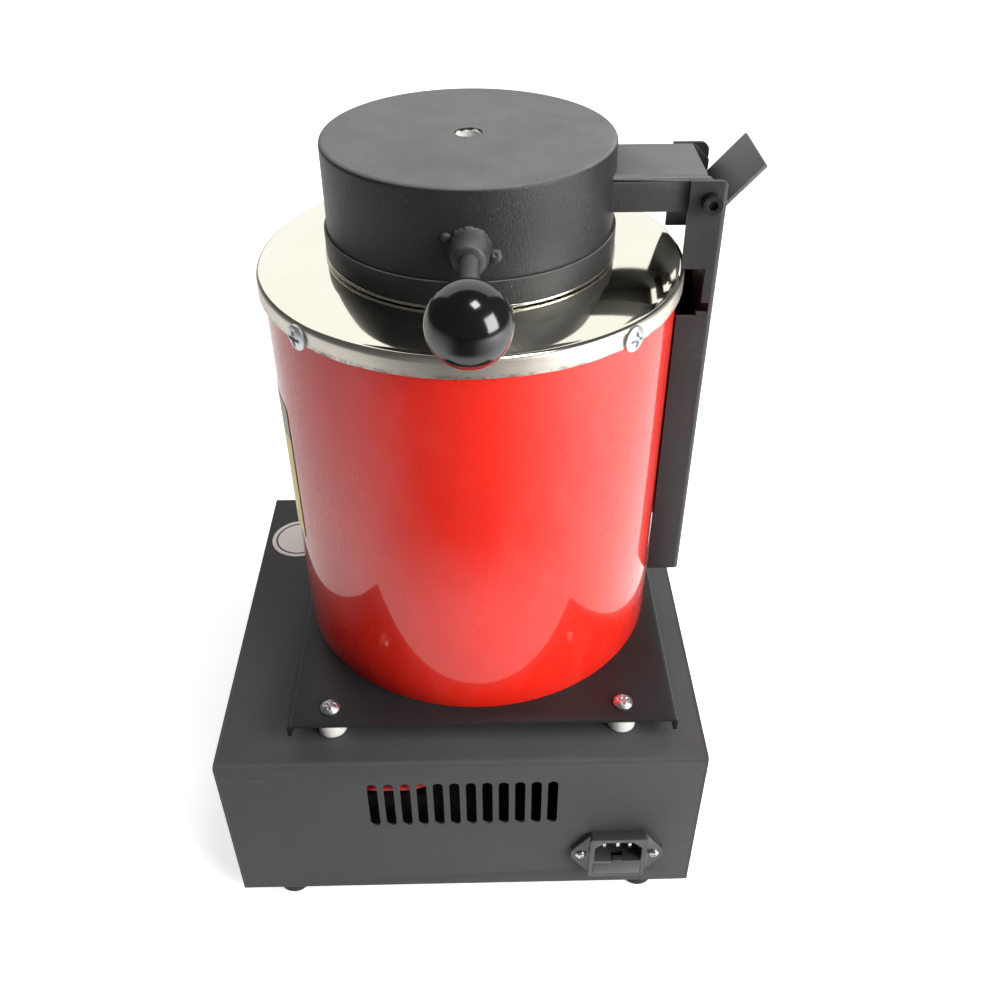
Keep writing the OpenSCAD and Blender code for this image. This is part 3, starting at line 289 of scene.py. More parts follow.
def times(a, b, clamp=False):
    """a multiplied by b."""
    return maths("MULTIPLY", a, b, clamp)


def plus(a, b, clamp=False):
    """a added to b."""
    return maths("ADD", a, b, clamp)


def near(value, target, reach):
    """1 where value is within reach of the target, and 0 elsewhere."""
    distance = maths("ABSOLUTE", maths("SUBTRACT", value, target))
    return maths("LESS_THAN", distance, reach)


def length(vector):
    """The length of a vector."""
    return add("VectorMath", operation="LENGTH", in0=vector).outputs["Value"]


def split(vector):
    """The three coordinates of a vector."""
    return add("SeparateXYZ", in0=vector).outputs


def ramp(value, low, high, to_low=0.0, to_high=1.0, smooth=False):
    """value between low and high becomes a value between to_low and to_high."""
    kind = "SMOOTHSTEP" if smooth else "LINEAR"
    return add("MapRange", interpolation_type=kind, clamp=True, in0=value, in1=low, in2=high,
               in3=to_low, in4=to_high).outputs[0]


def step(value, level, to_low=0.0, to_high=1.0):
    """to_low below a level and to_high above it, with a narrow change between them."""
    return ramp(value, level - 0.0001, level + 0.0001, to_low, to_high)


def blend(factor, a, b):
    """Colour a where factor is 0, and b where it is 1."""
    a, b = ((*colour, 1.0) if isinstance(colour, tuple) else colour for colour in (a, b))
    return add("Mix", data_type="RGBA", clamp_factor=True, in0=factor, in6=a, in7=b).outputs[2]


def mottled(pattern, a, b):
    """Soft patches of colour b on colour a, where a pattern between 0 and 1 is high."""
    return blend(ramp(pattern, 0.35, 0.65), a, b)


def varied(pattern, low, high):
    """A value that follows a pattern between 0 and 1 from low to high, for roughness."""
    return ramp(pattern, 0.3, 0.7, low, high)


def noise(vector, size_mm, detail=2.0, roughness=0.5):
    """Noise whose lumps are size_mm across."""
    return add("TexNoise", Vector=vector, Scale=1 / (size_mm * MM), Detail=detail,
               Roughness=roughness).outputs[0]


def effect(name, inputs, outputs, build):
    """A node group. build is given the sockets that come in and returns those that go out."""
    tree = bpy.data.node_groups.new(name, "ShaderNodeTree")
    for label, kind, value in inputs:
        socket = tree.interface.new_socket(label, in_out="INPUT", socket_type=kind)
        if value is not None:
            socket.default_value = value
    for label in outputs:
        tree.interface.new_socket(label, in_out="OUTPUT", socket_type="NodeSocketFloat")
    source = tree.nodes.new("NodeGroupInput")
    sink = tree.nodes.new("NodeGroupOutput")
    for k, result in enumerate(build(source.outputs)):
        tree.links.new(result, sink.inputs[k])
    return tree


def build_powder(source):
    """Fine pebbles of a powder coat: cells and noise of one size for height, wide soft patches for tone."""
    size = source["Size"]
    cells = add("TexVoronoi", feature="SMOOTH_F1", Vector=source["Vector"], Scale=size)
    fine = add("TexNoise", Vector=source["Vector"], Scale=times(size, 2.3), Detail=3.0).outputs[0]
    height = plus(times(cells.outputs[0], -0.6), fine)
    wide = noise(source["Vector"], 45, 4.0, 0.6)
    tone = plus(times(fine, 0.35), times(wide, 0.65))
    return height, tone


def build_dust_and_top_light(source):
    """Dust on faces that look up, and painted light where light falls on their tops: the height of the face's
    own normal, broken up by patches and specks.
    """
    # The mask is partly dust and partly painted light: faces that look up are made lighter.
    facing = ramp(split(source["Normal"])[2], 0.35, 0.9, smooth=True)
    patches = ramp(noise(source["Vector"], 30, 5.0, 0.65), 0.3, 0.75, 0.55, 1.0)
    specks = ramp(noise(source["Vector"], 0.9, 1.0), 0.72, 0.8, 0.0, 0.5)
    return (times(facing, plus(patches, specks), clamp=True),)


def build_scuffs(source):
    """Thin short scratches: noise drawn out along one slanting direction, kept only at its peaks."""
    drawn = add("Mapping", in0=source["Vector"], Rotation=(0.4, 0.7, 0.5), Scale=(1.0, 0.035, 1.0))
    lines = ramp(noise(drawn.outputs[0], 0.8, 2.0), 0.66, 0.72)
    where = ramp(noise(source["Vector"], 22, 3.0), 0.5, 0.7)
    return (times(lines, where),)


def build_brushed(source):
    """Brush lines round a turned piece: noise of the height and radius, drawn out along the turn."""
    x, y, z = split(source["Vector"])
    radius = length(add("CombineXYZ", in0=x, in1=y).outputs[0])
    turn = times(maths("ARCTAN2", y, x), 0.004)
    place = add("CombineXYZ", in0=turn, in1=radius, in2=z).outputs[0]
    lines = noise(place, 0.45, 4.0, 0.7)
    wide = noise(source["Vector"], 18, 3.0)
    return lines, plus(times(lines, 0.6), times(wide, 0.4))


VECTOR_IN = ("Vector", "NodeSocketVector", None)
SIZE_IN = ("Size", "NodeSocketFloat", 900.0)
NORMAL_IN = ("Normal", "NodeSocketVector", None)
POWDER = effect("powder_coat", [VECTOR_IN, SIZE_IN], ["Height", "Tone"], build_powder)
DUST_AND_TOP_LIGHT = effect("settled_dust", [VECTOR_IN, NORMAL_IN], ["Mask"], build_dust_and_top_light)
SCUFFS = effect("scuffs", [VECTOR_IN], ["Mask"], build_scuffs)
BRUSHED = effect("brushed_round", [VECTOR_IN], ["Height", "Tone"], build_brushed)


def group(effect_tree, **inputs):
    """The outputs of an effect that is placed in a material."""
    return add("Group", node_tree=effect_tree, **inputs).outputs


def new_finish(name, **constants):
    """A material with its constant values on the Principled shader's own sockets.
    place is the object's own coordinates, in metres."""
    material = bpy.data.materials.new(name)
    material.use_nodes = True
    nodes = material.node_tree.nodes
    for key, value in constants.items():
        nodes["Principled BSDF"].inputs[key.replace("_", " ")].default_value = value
    place = nodes.new("ShaderNodeTexCoord").outputs["Object"]
    return material, place


def centred(place, centre):
    """The object's own coordinates, measured from a centre in metres."""
    return add("Mapping", in0=place, Location=tuple(-np.asarray(centre))).outputs[0]


def set_surface(material, colour, roughness, height=None, depth_mm=0.05, **others):
    """The material, with colour and roughness linked to its shader, and height as bumps of a depth."""
    linked = {"Base_Color": colour, "Roughness": roughness, **others}
    if height is not None:
        linked["Normal"] = add("Bump", Strength=1.0, Distance=depth_mm * MM, Height=height).outputs[0]
    shader = material.node_tree.nodes["Principled BSDF"]
    for key, socket in linked.items():
        material.node_tree.links.new(socket, shader.inputs[key.replace("_", " ")])
    return material


def coated(name, colour, worn, roughness, grain_mm=1.0, depth_mm=0.05, dust=0.0,
           dust_and_top_light_colour=(0.3, 0.3, 0.29), scuffs=0.25, flecks=0.0, **constants):
    """Paint or moulded plastic: powder texture, wide changes of tone, scuffs, dust and painted top light on
    faces that look up, and flecks.
    """
    material, place = new_finish(name, **constants)
    texture = group(POWDER, Vector=place, Size=1 / (grain_mm * MM))
    base = mottled(texture["Tone"], colour, worn)
    marks = group(SCUFFS, Vector=place)["Mask"]
    bare = tuple(min(1.0, 3 * channel + 0.04) for channel in worn)
    base = blend(times(marks, scuffs), base, bare)
    rough = varied(texture["Tone"], *roughness)
    # Dust on upturned faces, which also paints the light that falls on them.
    if dust:
        settled = group(DUST_AND_TOP_LIGHT, Vector=place, Normal=place.node.outputs["Normal"])["Mask"]
        amount = times(settled, dust)
        base = blend(amount, base, dust_and_top_light_colour)
        rough = plus(rough, times(amount, 0.2), clamp=True)
    if flecks:
        grains = ramp(noise(place, 0.55, 1.0), 0.74, 0.82, 0.0, flecks)
        base = blend(grains, base, (0.42, 0.41, 0.39))
    return set_surface(material, base, rough, texture["Height"], depth_mm)


def bare_metal(name, colour, tint, roughness, grain_mm=1.5, depth_mm=0.01, **constants):
    """Plain or plated metal: mottled colour and roughness, with fine scratches."""
    material, place = new_finish(name, Metallic=1.0, **constants)
    mottle = noise(place, grain_mm * 4, 4.0, 0.6)
    fine = noise(place, grain_mm * 0.35, 3.0)
    marks = group(SCUFFS, Vector=place)["Mask"]
    base = mottled(mottle, colour, tint)
    rough = plus(varied(mottle, *roughness), times(marks, 0.15))
    return set_surface(material, base, rough, maths("SUBTRACT", fine, marks), depth_mm)


def mineral(name, colour, stain, roughness, lump_mm, depth_mm, fibres=0.0, **constants):
    """Ceramic, fibre or graphite: lumps of several sizes, stains, and matted fibres if asked for."""
    material, place = new_finish(name, **constants)
    lumps = noise(place, lump_mm, 6.0, 0.65)
    stains = noise(place, lump_mm * 9, 5.0, 0.6)
    height = lumps
    if fibres:
        matted = add("TexWave", Vector=place, Scale=420.0, Distortion=18.0, Detail=3.0, Detail_Scale=1.6)
        height = plus(lumps, times(matted.outputs[1], fibres))
    base = blend(ramp(stains, 0.45, 0.75), colour, stain)
    return set_surface(material, base, varied(lumps, *roughness), height, depth_mm)


# Finishes: two colours, the range of roughness, and the size and depth of the grain in millimetres
BOX_PAINT = coated(
    "box_powder_coat", (0.045, 0.047, 0.049), (0.054, 0.056, 0.058), (0.5, 0.64), 0.9, 0.13, flecks=0.15,
    dust=0.05, Specular_IOR_Level=0.3)
PLATE_PAINT = coated(
    "plate_powder_coat", (0.008, 0.008, 0.009), (0.013, 0.013, 0.014), (0.26, 0.38), 0.8, 0.08, dust=0.03,
    Specular_IOR_Level=0.3)
# On the lid, the arm and the handle, the dust on upturned faces is also painted light from above.
LID_PAINT = coated(
    "lid_heat_paint", (0.011, 0.011, 0.0115), (0.022, 0.022, 0.022), (0.32, 0.44), 1.1, 0.16, dust=0.8,
    dust_and_top_light_colour=(0.215, 0.212, 0.205), flecks=0.5, Specular_IOR_Level=0.5)
ARM_PAINT = coated(
    "arm_heat_paint", (0.042, 0.041, 0.040), (0.058, 0.057, 0.055), (0.38, 0.5), 1.0, 0.12, dust=0.6,
    dust_and_top_light_colour=(0.26, 0.256, 0.248), flecks=0.3)
# A paler copy of the black heat paint: the pale colour is partly dust and partly painted light on the stop's
# upturned face.
STOP_PAINT_DUST_AND_LIGHT = coated(
    "stop_paint_with_painted_light", (0.095, 0.090, 0.088), (0.125, 0.119, 0.116), (0.42, 0.55), 0.9, 0.1, flecks=0.3)
POST_PAINT = coated(
    "post_powder_coat", (0.024, 0.023, 0.023), (0.033, 0.032, 0.032), (0.42, 0.55), 0.8, 0.05, dust=0.2)
HANDLE_PAINT = coated(
    "handle_paint", (0.026, 0.025, 0.025), (0.038, 0.037, 0.036), (0.32, 0.45), 0.6, 0.05, dust=0.3,
    dust_and_top_light_colour=(0.24, 0.236, 0.228), flecks=0.4)
BLACK_OXIDE = coated(
    "black_oxide_steel", (0.022, 0.022, 0.023), (0.036, 0.035, 0.033), (0.24, 0.36), 0.5, 0.02,
    Metallic=0.5)
CASE_PLASTIC = coated(
    "controller_plastic", (0.017, 0.017, 0.018), (0.022, 0.022, 0.023), (0.42, 0.55), 0.5, 0.03)
INLET_PLASTIC = coated(
    "moulded_plastic", (0.026, 0.026, 0.027), (0.033, 0.033, 0.034), (0.2, 0.3), 0.7, 0.01,
    Specular_IOR_Level=0.8)
KEY_PLASTIC = coated("key_plastic", (0.23, 0.24, 0.26), (0.27, 0.28, 0.3), (0.45, 0.55), 0.6, 0.01)
ROCKER_PLASTIC = coated(
    "rocker_plastic", (0.5, 0.008, 0.006), (0.56, 0.014, 0.01), (0.18, 0.26), 1.2, 0.004, scuffs=0.05,
    Coat_Weight=0.4)
MARK_WHITE = coated(
    "white_marking", (0.72, 0.72, 0.7), (0.66, 0.66, 0.64), (0.4, 0.5), 0.5, 0.01, scuffs=0.0)
RELAY_PLASTIC = coated("relay_plastic", (0.62, 0.61, 0.56), (0.55, 0.53, 0.48), (0.4, 0.5), 0.8, 0.02)
BOARD_RESIN = coated("board_resin", (0.02, 0.085, 0.04), (0.03, 0.11, 0.05), (0.3, 0.42), 1.6, 0.02)
BLOCK_PLASTIC = coated(
    "terminal_block_plastic", (0.03, 0.026, 0.022), (0.05, 0.043, 0.036), (0.4, 0.5), 0.8, 0.02)
RED_SILICONE = coated(
    "red_silicone", (0.55, 0.012, 0.01), (0.62, 0.02, 0.015), (0.4, 0.55), 0.7, 0.02, dust=0.1)
BLACK_SLEEVE = coated("black_insulation", (0.014, 0.014, 0.014), (0.02, 0.02, 0.02), (0.4, 0.5), 0.7, 0.02)
FOOT_RUBBER = coated("foot_rubber", (0.014, 0.014, 0.014), (0.026, 0.026, 0.025), (0.7, 0.85), 0.8, 0.05)
BALL_RESIN = coated(
    "ball_resin", (0.003, 0.003, 0.0034), (0.005, 0.005, 0.0055), (0.09, 0.16), 9.0, 0.003, scuffs=0.05,
    IOR=1.75)
ZINC = bare_metal("zinc_plate", (0.78, 0.81, 0.82), (0.68, 0.69, 0.69), (0.34, 0.46))
NICKEL = bare_metal("nickel_plate", (0.80, 0.78, 0.73), (0.70, 0.68, 0.63), (0.2, 0.3))
MILL_STEEL = bare_metal("mill_steel", (0.42, 0.42, 0.42), (0.34, 0.335, 0.33), (0.32, 0.45), 3.0)
HOT_WIRE = bare_metal("oxidised_wire", (0.16, 0.14, 0.13), (0.24, 0.2, 0.17), (0.5, 0.65), 1.0, 0.03)
DRAWN_ALUMINIUM = bare_metal("drawn_aluminium", (0.62, 0.63, 0.64), (0.54, 0.55, 0.56), (0.28, 0.4), 1.2)
GLAZED = mineral(
    "glazed_ceramic", (0.88, 0.87, 0.81), (0.82, 0.79, 0.71), (0.14, 0.24), 5.0, 0.02, Coat_Weight=0.6,
    Coat_Roughness=0.08)
REFRACTORY = mineral("refractory", (0.56, 0.51, 0.43), (0.44, 0.37, 0.28), (0.8, 0.95), 1.4, 0.25)
FIBRE = mineral(
    "ceramic_fibre", (0.95, 0.94, 0.90), (0.86, 0.83, 0.76), (0.9, 1.0), 0.9, 0.35, fibres=0.5,
    Subsurface_Weight=0.6, Subsurface_Radius=(1.0, 0.97, 0.92), Subsurface_Scale=0.004)
GRAPHITE = mineral(
    "graphite", (0.03, 0.03, 0.032), (0.05, 0.05, 0.052), (0.45, 0.62), 0.8, 0.05, Metallic=0.35)


def build_red():
    """Gloss red paint: slight orange peel, wide changes of tone, a faint bloom of wiping, a clear coat."""
    material, place = new_finish("gloss_red_paint", Coat_Weight=1.0, Coat_Roughness=0.035, Coat_IOR=1.5,
                                 Specular_IOR_Level=0.15)
    peel = noise(place, 2.6, 2.0)
    stretched = add("Mapping", in0=place, Rotation=(0.0, 0.5, 0.3), Scale=(1.0, 1.0, 0.45))
    wiped = noise(stretched.outputs[0], 26, 5.0, 0.62)
    tone = noise(place, 60, 3.0)
    base = mottled(tone, (0.70, 0.0145, 0.0048), (0.64, 0.0125, 0.0042))
    base = blend(ramp(wiped, 0.5, 0.75, 0.0, 0.05), base, (0.8, 0.30, 0.26))
    rough = ramp(wiped, 0.4, 0.75, 0.26, 0.42)
    return set_surface(material, base, rough, peel, 0.012)


COVER_RISE = 3.4
RIM_Z = span("top_cover")[1] - COVER_RISE


def build_cover_steel():
    """Stainless steel, polished on the dome and brushed below the rim, with dark patches at the low edge.
    Levels are in metres."""
    rim_z = RIM_Z * MM
    material, place = new_finish("cover_stainless", Metallic=1.0)
    brushed = group(BRUSHED, Vector=centred(place, from_axis([0, 0, 0])))
    height = split(place)[2]
    edge = ramp(height, rim_z - 0.0016, rim_z - 0.0002, 1.0, 0.0, smooth=True)
    low_edge = ramp(height, rim_z - 0.0095, rim_z - 0.0066, 1.0, 0.0, smooth=True)
    stains = ramp(noise(place, 5, 5.0, 0.7), 0.45, 0.7)
    dome = mottled(noise(place, 40, 3.0), (0.95, 0.93, 0.80), (0.92, 0.895, 0.76))
    band = mottled(brushed["Tone"], (0.78, 0.73, 0.63), (0.90, 0.86, 0.77))
    band = blend(times(low_edge, stains), band, (0.12, 0.105, 0.09))
    base = blend(edge, dome, band)
    polished = varied(noise(place, 24, 4.0), 0.05, 0.09)
    rough = plus(polished, times(edge, 0.36))
    bumps = times(brushed["Height"], plus(times(edge, 0.9), 0.06))
    return set_surface(material, base, rough, bumps, 0.02)


def build_lid_steel():
    """Turned steel with brush lines round the furnace axis."""
    material, place = new_finish("lid_stainless", Metallic=1.0)
    brushed = group(BRUSHED, Vector=centred(place, from_axis([0, 0, 0])))
    base = mottled(brushed["Tone"], (0.75, 0.735, 0.69), (0.62, 0.6, 0.55))
    return set_surface(material, base, varied(brushed["Tone"], 0.18, 0.3), brushed["Height"], 0.02)


DARK_INK = (0.03, 0.03, 0.03)


def build_label():
    """Plain two-tone film: a grey head above a thin dark line, a yellow field below, and a pale edge.
    Levels and widths are in metres."""
    material, place = new_finish("two_tone_film", Specular_IOR_Level=0.3)
    height = split(place)[2]
    low_z, high_z = (level * MM for level in span("blank_label"))
    head_height, margin, half_line = 0.017, 0.0013, 0.0006
    grain = noise(place, 0.7, 2.0)
    wide = noise(place, 14, 4.0)
    field = mottled(wide, (0.95, 0.80, 0.30), (0.90, 0.75, 0.26))
    head = mottled(wide, (0.34, 0.35, 0.27), (0.42, 0.42, 0.34))
    base = blend(step(height, high_z - head_height), field, head)
    base = blend(near(height, high_z - head_height, half_line), base, DARK_INK)
    inside = times(step(height, low_z + margin), step(height, high_z - margin, 1.0, 0.0))
    base = blend(inside, (0.62, 0.6, 0.5), base)
    return set_surface(material, base, varied(grain, 0.3, 0.42), grain, 0.01)


def build_sticker():
    """Plain white film with one thin dark ring, whose sizes are in metres."""
    material, place = new_finish("ringed_film", Coat_Weight=0.3, Coat_Roughness=0.2)
    ring_r, half_line = 0.0145, 0.0006
    grain = noise(place, 0.8, 2.0)
    base = mottled(noise(place, 9, 4.0), (1.0, 0.99, 0.95), (0.96, 0.95, 0.9))
    radius = length(centred(place, middle("round_sticker") * MM))
    base = blend(near(radius, ring_r, half_line), base, DARK_INK)
    return set_surface(material, base, varied(grain, 0.35, 0.5), grain, 0.01)


def build_glass(name, colour, roughness, transmission):
    """Tinted window or clear tube, with faint smears."""
    material, place = new_finish(name, Transmission_Weight=transmission, IOR=1.49)
    smears = noise(place, 12, 4.0)
    base = mottled(smears, colour, tuple(0.85 * channel for channel in colour))
    return set_surface(material, base, ramp(smears, 0.3, 0.75, *roughness))


RED_PAINT = build_red()
COVER_STEEL = build_cover_steel()
LID_STEEL = build_lid_steel()
LABEL_FILM = build_label()
STICKER_FILM = build_sticker()
WINDOW_GLASS = build_glass("window_tint", (0.16, 0.02, 0.018), (0.04, 0.1), 0.85)
TUBE_GLASS = build_glass("tube_glass", (0.9, 0.92, 0.92), (0.02, 0.08), 0.9)


# Softened copies of the folded, moulded and cast pieces: their finish, and how far their edges are rounded
COPIES = {
    "box_shell": (BOX_PAINT, 0.3),
    "front_panel": (BOX_PAINT, 0.3),
    "rear_panel": (BOX_PAINT, 0.3),
    "base_plate": (BOX_PAINT, 0.2),
    "panel_screws": (BLACK_OXIDE, 0.0),
    "foot_screws": (ZINC, 0.0),
    "controller_case": (CASE_PLASTIC, 0.4),
    "controller_window": (WINDOW_GLASS, 0.1),
    "controller_board": (BOARD_RESIN, 0.1),
    "controller_clamp": (INLET_PLASTIC, 0.3),
    "switch_housing": (INLET_PLASTIC, 0.3),
    "switch_rocker": (ROCKER_PLASTIC, 0.35),
    "contact_blades": (NICKEL, 0.25),
    "inlet_body": (INLET_PLASTIC, 0.45),
    "fuse_drawer": (INLET_PLASTIC, 0.25),
    "inlet_screws": (NICKEL, 0.0),
    "relay_heatsink": (DRAWN_ALUMINIUM, 0.3),
    "relay": (RELAY_PLASTIC, 0.4),
    "terminal_block": (BLOCK_PLASTIC, 0.4),
    "standoff_screws": (ZINC, 0.0),
    "mounting_plate": (PLATE_PAINT, 0.3),
    "bottom_disc": (MILL_STEEL, 0.2),
    "hex_bolts": (BLACK_OXIDE, 0.25),
    "m5_nuts": (ZINC, 0.25),
    "lead_bushes": (GLAZED, 0.0),
    "base_fibre": (FIBRE, 0.0),
    "wall_fibre": (FIBRE, 0.0),
    "element_rods": (HOT_WIRE, 0.0),
    "thermocouple": (GLAZED, 0.0),
    "cover_screws": (ZINC, 0.0),
    "hinge_post": (POST_PAINT, 0.3),
    "hinge_bolt": (BLACK_OXIDE, 0.15),
    "hinge_washers": (ZINC, 0.0),
    "lid_arm": (ARM_PAINT, 0.3),
    "lid_stop": (STOP_PAINT_DUST_AND_LIGHT, 0.35),
}
for node, (finish, rounding) in COPIES.items():
    softened_copy(node, finish, rounding)


# Furnace body
def ring_profile(outer, inner, low, high, rounding, steps=4):
    """The profile of a flat ring or a tube."""
    return softened([(inner, low), (outer, low), (outer, high), (inner, high)], rounding, steps)


def disc_profile(radius, low, high, rounding):
    """The profile of a disc or a rod, open at its axis."""
    return softened([(0, low), (radius, low), (radius, high), (0, high)], rounding, fixed_ends=True)


def round_piece(name, node, material, profile, segments, place=from_axis, closed=True):
    """A turned piece that stands for a CAD node. Its profile is closed, or open at the axis."""
    mesh = skin(name, place(turned(profile, segments)), close_rows=closed)
    stand_in(name, mesh, node, material)


shell_profile = ring_profile(SHELL_R, SHELL_R - 1, *span("furnace_shell"), 0.3)
round_piece("shell_skin", "furnace_shell", RED_PAINT, shell_profile, 256)


def cover_profile():
    """The dome is a parabola from the rim up to the mouth, z = rim + rise (1 - t^2).
    A quarter circle bends it into the straight edge, and the line comes back one sheet's thickness inside."""
    sheet, edge_r, edge_depth, bend = 1.0, 98.3, 9.7, 3.0
    flat_r, bend_r, hole_r = 66.2, edge_r - bend, 60.5
    mouth_z = RIM_Z + COVER_RISE
    t = np.linspace(0, 1, 24)
    dome = np.column_stack([flat_r + t * (bend_r - flat_r), RIM_Z + COVER_RISE * (1 - t ** 2)])
    a = np.radians(np.linspace(82, 0, 10))[:, None]
    turn = np.hstack([np.cos(a), np.sin(a)])
    corner = np.array([bend_r, RIM_Z - bend])
    low_z = RIM_Z - edge_depth
    low = np.array([[edge_r, low_z + 0.2], [edge_r - 0.2, low_z], [edge_r - sheet, low_z]])
    mouth = np.array([[hole_r + 0.1, mouth_z - sheet], [hole_r, mouth_z - 0.8],
                      [hole_r, mouth_z - 0.2], [hole_r + 0.2, mouth_z]])
    inner_turn = corner + (bend - sheet) * turn[::-1]
    return np.concatenate([dome, corner + bend * turn, low, inner_turn, (dome - [0, sheet])[::-1], mouth])


def make_cover():
    """The turned profile, its lower edge waved by a few tenths of a millimetre as hand trimming leaves it."""
    grid = turned(cover_profile(), 320)
    _, a = polar(grid)
    ragged = 0.16 * np.sin(5 * a + 1) + 0.10 * np.sin(13 * a) + 0.07 * np.sin(41 * a + 2)
    share = np.clip((RIM_Z - 7.5 - grid[..., 2]) / 2, 0, 1)
    grid[..., 2] += share * (ragged + 0.25)
    return skin("cover_dome", from_axis(grid))


stand_in("cover_dome", make_cover(), "top_cover", COVER_STEEL)


def four_round_pieces(name, node, material, radius, profile):
    """Four like turned pieces, each in a corner of the box of their CAD node."""
    low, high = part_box(node)
    spots = [(x, y, 0) for x in (low.x / MM + radius, high.x / MM - radius)
             for y in (low.y / MM + radius, high.y / MM - radius)]
    points = turned(profile, 72)
    stand_in(name, joined(name, [skin("one", (points + spot) * MM) for spot in spots]), node, material)


STANDOFF_R, FOOT_R = 7.5, 9
standoff_profile = ring_profile(STANDOFF_R, 2.75, *span("standoffs"), 0.9, steps=5)
four_round_pieces("standoff_rings", "standoffs", GLAZED, STANDOFF_R, standoff_profile)
# A foot tapers to the bench and has a well for the screw's head
foot_corners = [(1.65, 5), (3.1, 4), (3.1, 0), (8, 0), (8.8, 1), (FOOT_R, 6), (1.65, 6)]
four_round_pieces("foot_bumpers", "rubber_feet", FOOT_RUBBER, FOOT_R, softened(foot_corners, 0.5))


# Inside the furnace
MUFFLE_BORE_R = 44


def muffle_profile():
    """A thick tube whose wall has faint rings left by casting: r + ripple sin(z)."""
    inner_r, outer_r, ripple, chamfer = MUFFLE_BORE_R, 52, 0.08, 0.6
    low, high = span("heater_muffle")
    z = np.linspace(low + chamfer, high - chamfer, 60)
    outer = np.column_stack([outer_r - ripple + ripple * np.sin(z * 1.3), z])
    inner = np.column_stack([inner_r + ripple + ripple * np.sin(z * 1.1), z])[::-1]
    low_face = [(inner_r + chamfer, low), (outer_r - chamfer, low)]
    high_face = [(outer_r - chamfer, high), (inner_r + chamfer, high)]
    return np.concatenate([low_face, outer, high_face, inner])


round_piece("muffle_tube", "heater_muffle", REFRACTORY, muffle_profile(), 128)
mouth_profile = ring_profile(60, MUFFLE_BORE_R, *span("mouth_ring"), 1.6)
round_piece("mouth_brick", "mouth_ring", REFRACTORY, mouth_profile, 144)
pad_profile = disc_profile(36, *span("crucible_pad"), 1.2)
round_piece("pad_disc", "crucible_pad", REFRACTORY, pad_profile, 96, closed=False)


def make_crucible():
    """A cup with a rounded rim and floor. A dip in its rim at +X is the pouring lip."""
    outer_r, inner_r, floor = 36, 27, 12
    low, high = span("crucible")
    corners = [(0, low), (outer_r, low), (outer_r, high), (inner_r, high), (inner_r, low + floor),
               (0, low + floor)]
    wall = softened(corners, np.array([0, 2.5, 3, 3, 8, 0]), 8, fixed_ends=True)
    parts = [np.linspace(start, end, 5)[:-1] for start, end in zip(wall[:-1], wall[1:])]
    grid = turned(np.concatenate([*parts, wall[-1:]]), 128)
    _, a = polar(grid)
    lip_depth, lip_angle, reach = 4, 0.2, 14
    near_rim = np.clip((grid[..., 2] - high + reach) / reach, 0, 1) ** 2
    grid[..., 2] -= lip_depth * np.exp(-(a / lip_angle) ** 2) * near_rim
    return skin("crucible_cup", from_axis(grid), close_rows=False)


stand_in("crucible_cup", make_crucible(), "crucible", GRAPHITE)


def make_coil():
    """A helix: (r cos a, r sin a, z + pitch a / 2 pi), from the rear round to the front."""
    turns, pitch, wire = 11.5, 11, 2.4
    start = span("heating_element")[0] + wire / 2
    a = np.linspace(0, turns, int(turns * 48) + 1) * 2 * np.pi
    radius = MUFFLE_BORE_R - 0.3 - wire / 2
    path = np.column_stack([radius * np.cos(a + np.pi / 2), radius * np.sin(a + np.pi / 2),
                            start + pitch * a / (2 * np.pi)])
    return tube("coil_wire", from_axis(path), wire / 2 * MM, 12, reference=(0.02, 0.01, 1.0))


stand_in("coil_wire", make_coil(), "heating_element", HOT_WIRE)


# Lid
def make_lid_skin():
    """A cap turned from one sheet: wall, rounded top edge, top with its hole, and the inside."""
    sheet, hole = 1.5, 6.0
    corners = [(LID_R - sheet, LID_LOW), (LID_R, LID_LOW), (LID_R, LID_HIGH), (hole, LID_HIGH),
               (hole, LID_HIGH - sheet), (LID_R - sheet, LID_HIGH - sheet)]
    profile = softened(corners, np.array([0.2, 0.2, 2.4, 0.3, 0.2, 1.0]), 8)
    grid = turned(profile, 224)
    r, a = polar(grid)
    burr = np.where(r < hole + 1, 1 + (0.02 * np.sin(7 * a) + 0.015 * np.sin(17 * a + 1)), 1)
    grid[..., :2] *= burr[..., None]
    return skin("lid_cap", from_axis(grid))


stand_in("lid_cap", make_lid_skin(), "lid_shell", LID_PAINT)
band_profile = ring_profile(65.8, 64.6, *span("lid_band"), 0.35)
round_piece("lid_hoop", "lid_band", LID_PAINT, band_profile, 224)
plate_profile = ring_profile(66.2, 40.3, *span("lid_plate"), 0.6)
round_piece("lid_disc", "lid_plate", LID_STEEL, plate_profile, 224)


